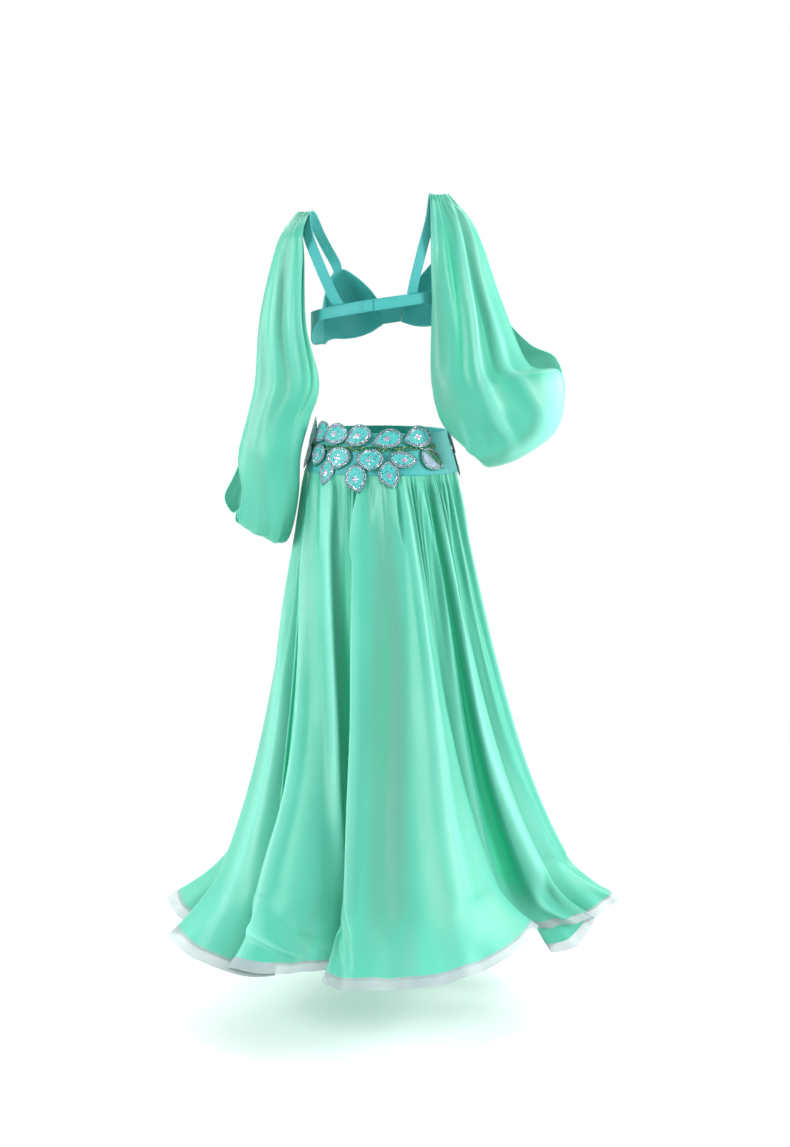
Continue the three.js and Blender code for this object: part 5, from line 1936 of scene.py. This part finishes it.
@dataclass
class Leaf:
    """One cloth leaf with a cord round it, two rows of stones and a cluster in its middle."""

    wardrobe: Wardrobe
    spec: LeafSpec
    dome: float = 0.8
    cord: float = 0.85
    stone: float = 1.2
    # Each row of stones: its inset, the share of the stones' size and their pitch.
    stone_rows: tuple[tuple[float, float, float], ...] = ((1.7, 1.06, 3.25), (4.7, 1.0, 3.1))
    cluster: tuple[Span, ...] = ((-4.6, 0), (0, -3.7), (0, 3.7), (4.8, 0), (0, 0))
    cluster_width: float = 38.0
    scattered: int = 26
    lean: float = 0.2
    # Reach in millimetres of the painted shade band inside the edge, under the stones.
    stone_shade: float = 6.4
    rows: int = 29
    outline: tuple[Span, ...] = (
        (-0.5, 0.06), (-0.4, 0.3), (-0.22, 0.46), (-0.02, 0.49),
        (0.18, 0.4), (0.34, 0.22), (0.44, 0.08), (0.5, 0.015))

    def half_line(self, share: Array) -> tuple[Array, Array]:
        """Along and half width, in millimetres, at a share of the outline from stalk to tip."""
        row = share * (len(self.outline) - 1)
        along, half = (spline(values, row) for values in np.array(self.outline).T)
        return along * self.spec.length, half * self.spec.width

    def place(self, along: Array, across: Array, lift: Array | float = 0.0) -> Array:
        """A point of the leaf bent round the hip line.

        Args:
            along: Millimetres from its middle towards the tip.
            across: Millimetres from its middle line.
            lift: Distance out from its middle cloth.

        Returns:
            The point.
        """
        turn = math.radians(self.spec.turn)
        one = hip_point(np.array(self.spec.az), np.array(self.spec.z))
        degree = np.linalg.norm(hip_point(np.array(self.spec.az + 1), np.array(self.spec.z)) - one)
        layer = YOKE_WALL / 2 + LEAF_LIFT[0] + self.spec.layer * LEAF_LIFT[1] + LEAF_WALL / 2
        sway = 0.07 * self.spec.width * np.sin(math.pi * (along / self.spec.length + 0.5))
        sideways = along * math.sin(turn) + (across + sway) * math.cos(turn)
        down = along * math.cos(turn) - (across + sway) * math.sin(turn)
        far = (2.2 * across / self.spec.width) ** 2 + (2.0 * along / self.spec.length) ** 2
        crown = self.dome * np.exp(-far)
        return hip_point(self.spec.az - sideways / degree, self.spec.z - down, layer + crown + lift)

    def frame_at(self, along: Array, across: Array,
                 lift: float = LEAF_WALL / 2) -> tuple[Array, Array, Array]:
        """Points, outward normals and tipward directions on the leaf's face."""
        here = self.place(along, across, lift)
        tipward = self.place(along + 0.4, across, lift) - here
        sideward = self.place(along, across + 0.4, lift) - here
        return here, unit(np.cross(sideward, tipward)), tipward

    def edge(self, steps: int) -> Array:
        """The outline as (along, across) places, out along one side and back along the other."""
        along, half = self.half_line(np.linspace(0, 1, steps))
        back = np.stack([along[::-1], -half[::-1]], axis=-1)[1:-1]
        return np.concatenate([np.stack([along, half], axis=-1), back])

    def border(self, inset: float, pitch: float) -> Array:
        """Places of stones in a row inside the edge.

        Args:
            inset: Distance from the edge in millimetres.
            pitch: Distance between stones.

        Returns:
            Their places along, and their places across.
        """
        loop = self.edge(90)
        tangent = unit(np.roll(loop, -1, axis=0) - np.roll(loop, 1, axis=0))
        inner = loop + np.stack([tangent[:, 1], -tangent[:, 0]], axis=-1) * inset
        inner = np.array([place for place in inner if self.is_inside(place, inset * 0.9)])
        path = np.concatenate([inner, inner[:1]])
        kept: list[Array] = []
        for place in spaced(path, path, pitch)[0]:
            if all(np.hypot(*(place - other)) > pitch * 0.86 for other in kept):
                kept.append(place)
        return np.array(kept).T

    def is_inside(self, place: Array, margin: float) -> bool:
        """Whether a place is at least margin inside the outline."""
        along, half = self.half_line(np.linspace(0, 1, 60))
        room = np.hypot(along - place[0], half - abs(place[1])).min()
        return bool(abs(place[1]) < np.interp(place[0], along, half) and room > margin)

    def base(self) -> Sheet:
        """The leaf's cloth, with painted shade in a band inside its edge, under the stones."""
        share = np.linspace(0, 1, self.rows)

        def surface(side: Array, row: Array) -> Array:
            """A point for side -1 to 1 and a share of the length."""
            along, half = self.half_line(row)
            return self.place(along, side * half)

        across = np.linspace(-1, 1, 33)
        sheet = lay(surface, across, share, 1)
        side, row = np.meshgrid(across, share)
        half = self.half_line(row)[1]
        # Painted shade: a darker band inside the edge, where the stones sit.
        from_ends = (0.5 - abs(row - 0.5)) * self.spec.length * 0.9
        inward = np.minimum((1 - abs(side)) * half, from_ends)
        stone_shade = 0.95 * smooth(self.stone_shade - inward)
        sheet.marks = np.stack([np.full_like(side, 0.5), stone_shade], axis=-1)
        return sheet

    def stones(self, pieces: Pieces) -> None:
        """Sets the stones: two rows inside the edge, a cluster and scattered small ones.

        Args:
            pieces: The mesh that holds every stone of the belt.
        """
        rng = np.random.default_rng(int(self.spec.az * 7 + self.spec.length) + 500)
        gem = cut_stone()
        for inset, gain, pitch in self.stone_rows:
            size = self.stone * gain
            at, normal, tip = self.frame_at(*self.border(inset, pitch))
            up = tilted(rng, normal, self.lean)
            slots = rng.choice([SILVER] * 3 + [LILAC] * 2 + [PINK, GREEN, CLEAR], len(at))
            gem.scatter(pieces, at, up, tip, (size, size, size * 0.9), slots)
        big = np.array(self.cluster) * (self.spec.width / self.cluster_width)
        at, normal, tip = self.frame_at(big[:, 0] + 0.5, big[:, 1])
        gem.scatter(pieces, at, tilted(rng, normal, 0.06), tip, (2.3, 2.1, 2.0),
                    np.array([PINK, CLEAR, PINK, CLEAR, PINK]))
        half_size = (self.spec.length * 0.36, self.spec.width * 0.34)
        spread = rng.uniform(-1, 1, (self.scattered, 2)) * half_size
        small = np.array([
            place for place in spread
            if np.hypot(place[0] / 1.5, place[1]) > 5.4 and self.is_inside(place, 7.2)])
        at, normal, tip = self.frame_at(*small.reshape(-1, 2).T)
        gem.scatter(pieces, at, normal, tip, (0.9, 0.9, 0.8), TEAL)

    def build(self, stones: Pieces) -> None:
        """Makes the leaf and adds its stones to the joined stones.

        Args:
            stones: The mesh that holds every stone of the belt.
        """
        sheet = self.base()
        pieces = Pieces()
        pieces.add_wall(sheet, 1.0)
        path, normal, _ = self.frame_at(*self.edge(60).T, 0.25)
        pieces.add_tube(path, normal, self.cord, 1, closed=True)
        pieces.build_sheet(self.spec.name, sheet, self.wardrobe.get(Finish.LEAF, Finish.CORD),
                           Slot.LEAF)
        self.stones(stones)


@dataclass
class TwoToneLeaf(Leaf):
    """The leaf that is packed with silver stones on one half and green beads on the other."""

    step: float = 2.65
    bead_lift: float = 0.7
    pack_lean: float = 0.22

    def stones(self, pieces: Pieces) -> None:
        """Packs one half with stones and the other with slanting rows of beads."""
        rng = np.random.default_rng(77)
        gem, bead = cut_stone(), round_bead()
        at, normal, tip = self.frame_at(*self.border(2.0, 2.7))
        gem.scatter(pieces, at, tilted(rng, normal, self.lean), tip, (1.25, 1.25, 1.2),
                    rng.choice([SILVER, LILAC, PINK, GREEN], len(at)))
        step = self.step
        grid = [(i * step * 0.87, (j + 0.5 * (i % 2)) * step)
                for i in range(-14, 15) for j in range(-9, 10)]
        places = np.array([place for place in grid if self.is_inside(np.array(place), 3.4)])
        is_stone = places[:, 1] > -0.5
        at, normal, tip = self.frame_at(*places[is_stone].T)
        slots = rng.choice([SILVER] * 2 + [LILAC] * 2 + [PINK], len(at))
        gem.scatter(pieces, at, tilted(rng, normal, self.pack_lean), tip, (1.12, 1.12, 1.1), slots)
        rest = places[~is_stone]
        at, normal, tip = self.frame_at(*rest.T, LEAF_WALL / 2 + self.bead_lift)
        slots = np.where(np.round(rest.sum(axis=1)) % 4 == 0, GOLD, BEAD)
        bead.scatter(pieces, at, tilted(rng, normal, self.pack_lean), tip, 1.12, slots)


@dataclass
class Stem:
    """The beaded stem that runs between the two rows of leaves."""

    wardrobe: Wardrobe
    start: float = -8.0
    end: float = 150.0
    z: float = -429.0
    drop: float = -4.0
    lift: float = 0.7
    bead: float = 1.5
    bead_gap: float = 0.1
    cords: tuple[float, ...] = (-3.0, 0.0, 3.0)
    bead_rows: tuple[float, ...] = (-3.2, -0.2, 2.9)
    sway: float = 0.5

    def line(self, share: Array, down: Array | float, out: float) -> Array:
        """A line along the stem, down millimetres below its middle and out from the yoke."""
        z = self.z + self.drop * np.sin(math.pi * share) - down
        return hip_point(mix(self.start, self.end, share), z, YOKE_WALL / 2 + self.lift + out)

    def build(self) -> None:
        """Makes the stem's cord and its rows of beads."""
        pieces = Pieces()
        share = np.linspace(0, 1, 161)
        up = unit(self.line(share, 0, 3.0) - self.line(share, 0, 0.0))
        for down in self.cords:
            pieces.add_tube(self.line(share, down, 1.0), up, 1.0)
        rng = np.random.default_rng(21)
        for down in self.bead_rows:
            path = self.line(share, down + self.sway * np.sin(share * 60 + down), 1.9)
            places = spaced(path, up, 2 * self.bead + self.bead_gap)
            flat = self.bead * 0.9
            round_bead().scatter(pieces, *places, (self.bead, flat, flat),
                                 rng.choice([1, 1, 1, 2], len(places[0])))
        finishes = (Finish.CORD, Finish.GREEN_BEAD, Finish.GOLD_BEAD)
        made = pieces.build("belt_stem_beads", self.wardrobe.get(*finishes), Slot.BEADS)
        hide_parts("belt_stem")
        LOG.info("%s", made.name)


@dataclass
class Belt:
    """The jewelled hip belt."""

    wardrobe: Wardrobe

    def build(self) -> None:
        """Makes the yoke, the stem, the leaves and the joined stones."""
        Yoke(self.wardrobe).build()
        Stem(self.wardrobe).build()
        stones = Pieces()
        for spec in LEAVES:
            kind = TwoToneLeaf if spec.name == "leaf_two_tone" else Leaf
            kind(self.wardrobe, spec).build(stones)
        made = stones.build("leaf_stones", self.wardrobe.get(*STONES), Slot.LEAF)
        LOG.info("%s: %d faces", made.name, len(made.data.polygons))


# ---------- studio ----------


@dataclass(frozen=True)
class Lamp:
    """A soft square light, of a size in metres and a power in watts.

    place and aim are metres beside the dress, towards the camera and up.
    """

    name: str
    place: Point
    size: float
    power: float
    aim: Point = (0.0, 0.0, -0.7)


LAMPS = (
    Lamp("key", (-2.6, 1.6, 0.2), 1.0, 74.0),
    Lamp("fill", (2.6, 1.5, 0.3), 1.0, 80.0),
    Lamp("top", (0.4, 0.9, 2.3), 1.2, 24.0),
    Lamp("left edge", (-3.0, -0.7, 0.2), 1.4, 44.0),
    Lamp("right edge", (3.0, -0.7, 0.2), 1.4, 72.0),
    Lamp("far", (0.0, -7.0, 3.2), 9.0, 900.0, (0.0, -7.0, -1.5)),
)


@dataclass
class Studio:
    """Floor, lights and camera."""

    turn: float = 12.0
    pitch: float = 8.4
    distance: float = 3.6
    camera_z: float = -0.14
    beside: float = 0.0439
    lens: float = 61.74
    floor_z: float = -1.49
    floor_half: float = 30.0
    floor_fade: Span = (1.2, 3.0)
    sky_strength: float = 0.46

    def seen(self, beside: float, towards: float, z: float) -> Vector:
        """A place given by how far it is beside the dress and towards the camera."""
        c, s = math.cos(math.radians(self.turn)), math.sin(math.radians(self.turn))
        return Vector((-beside * c - towards * s, -beside * s + towards * c, z))

    def camera(self) -> None:
        """Makes the camera."""
        data = bpy.data.cameras.new("camera")
        data.lens = self.lens
        data.sensor_width = 36.0
        made = put("camera", data)
        made.location = self.seen(self.beside, self.distance, self.camera_z)
        pitch = math.radians(self.pitch)
        ahead = self.seen(0, -math.cos(pitch), -math.sin(pitch))
        made.rotation_euler = ahead.to_track_quat("-Z", "Y").to_euler()
        bpy.context.scene.camera = made

    def light(self, lamp: Lamp) -> None:
        """Adds a soft square light.

        Args:
            lamp: Its place, size and power.
        """
        data = bpy.data.lights.new(lamp.name, "AREA")
        data.shape = "SQUARE"
        data.size = lamp.size
        data.energy = lamp.power
        made = put(lamp.name, data)
        made.location = self.seen(*lamp.place)
        ray = self.seen(*lamp.aim) - made.location
        made.rotation_euler = ray.to_track_quat("-Z", "Y").to_euler()

    def floor(self) -> None:
        """Makes the pale floor."""
        mesh = bpy.data.meshes.new("floor")
        corners = [(x * self.floor_half, y * self.floor_half, self.floor_z)
                   for x, y in ((-1, -1), (1, -1), (1, 1), (-1, 1))]
        mesh.from_pydata(corners, [], [(0, 1, 2, 3)])
        material, graph, output = new_material("pale_floor")
        near = graph.node("BsdfPrincipled", {"Base Color": (0.9, 0.9, 0.9, 1), "Roughness": 0.8})
        far = graph.node("Emission", {0: WHITE, 1: 1.0})
        place = graph.node("TexCoord").outputs["Object"]
        away = graph.node("VectorMath", {0: place}, operation="LENGTH").outputs["Value"]
        share = graph.ranged(away, *self.floor_fade, kind="SMOOTHSTEP")
        graph.link(graph.shade_between(share, near, far), output.inputs[0])
        mesh.materials.append(material)
        put("floor", mesh)

    def sky(self) -> None:
        """Makes the plain pale surroundings."""
        world = bpy.data.worlds.new("studio")
        world.use_nodes = True
        graph = Graph(world.node_tree)
        world.node_tree.nodes.clear()
        output = graph.node("OutputWorld")
        glow = graph.node("Background", {0: (0.95, 0.98, 1.0, 1), 1: self.sky_strength})
        seen = graph.node("Background", {0: WHITE, 1: 1.0})
        to_camera = graph.node("LightPath").outputs["Is Camera Ray"]
        graph.link(graph.shade_between(to_camera, glow, seen), output.inputs[0])
        bpy.context.scene.world = world

    def build(self) -> None:
        """Makes the whole studio."""
        self.camera()
        self.floor()
        self.sky()
        for lamp in LAMPS:
            self.light(lamp)


def main() -> None:
    """Builds the dress and its studio over the frame."""
    logging.basicConfig(level=logging.INFO, format="%(name)s %(message)s")
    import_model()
    bpy.context.scene.view_settings.view_transform = "Standard"
    Studio().build()
    effects = Effects()
    effects.build()
    wardrobe = Wardrobe(effects)
    BraTop(wardrobe).build()
    Sleeve(wardrobe, Side.LEFT, LEFT_SLEEVE, LEFT_BACK_FOLDS, LEFT_FRONT_FOLDS, LEFT_SHEER_SHADES,
           strength=1.1).build()
    Sleeve(wardrobe, Side.RIGHT, RIGHT_SLEEVE, RIGHT_BACK_FOLDS, RIGHT_FRONT_FOLDS, RIGHT_SHEER_SHADES,
           painted_highlights=RIGHT_PAINTED_HIGHLIGHTS).build()
    Belt(wardrobe).build()
    Skirt(wardrobe).build()


if __name__ == "__main__":
    main()
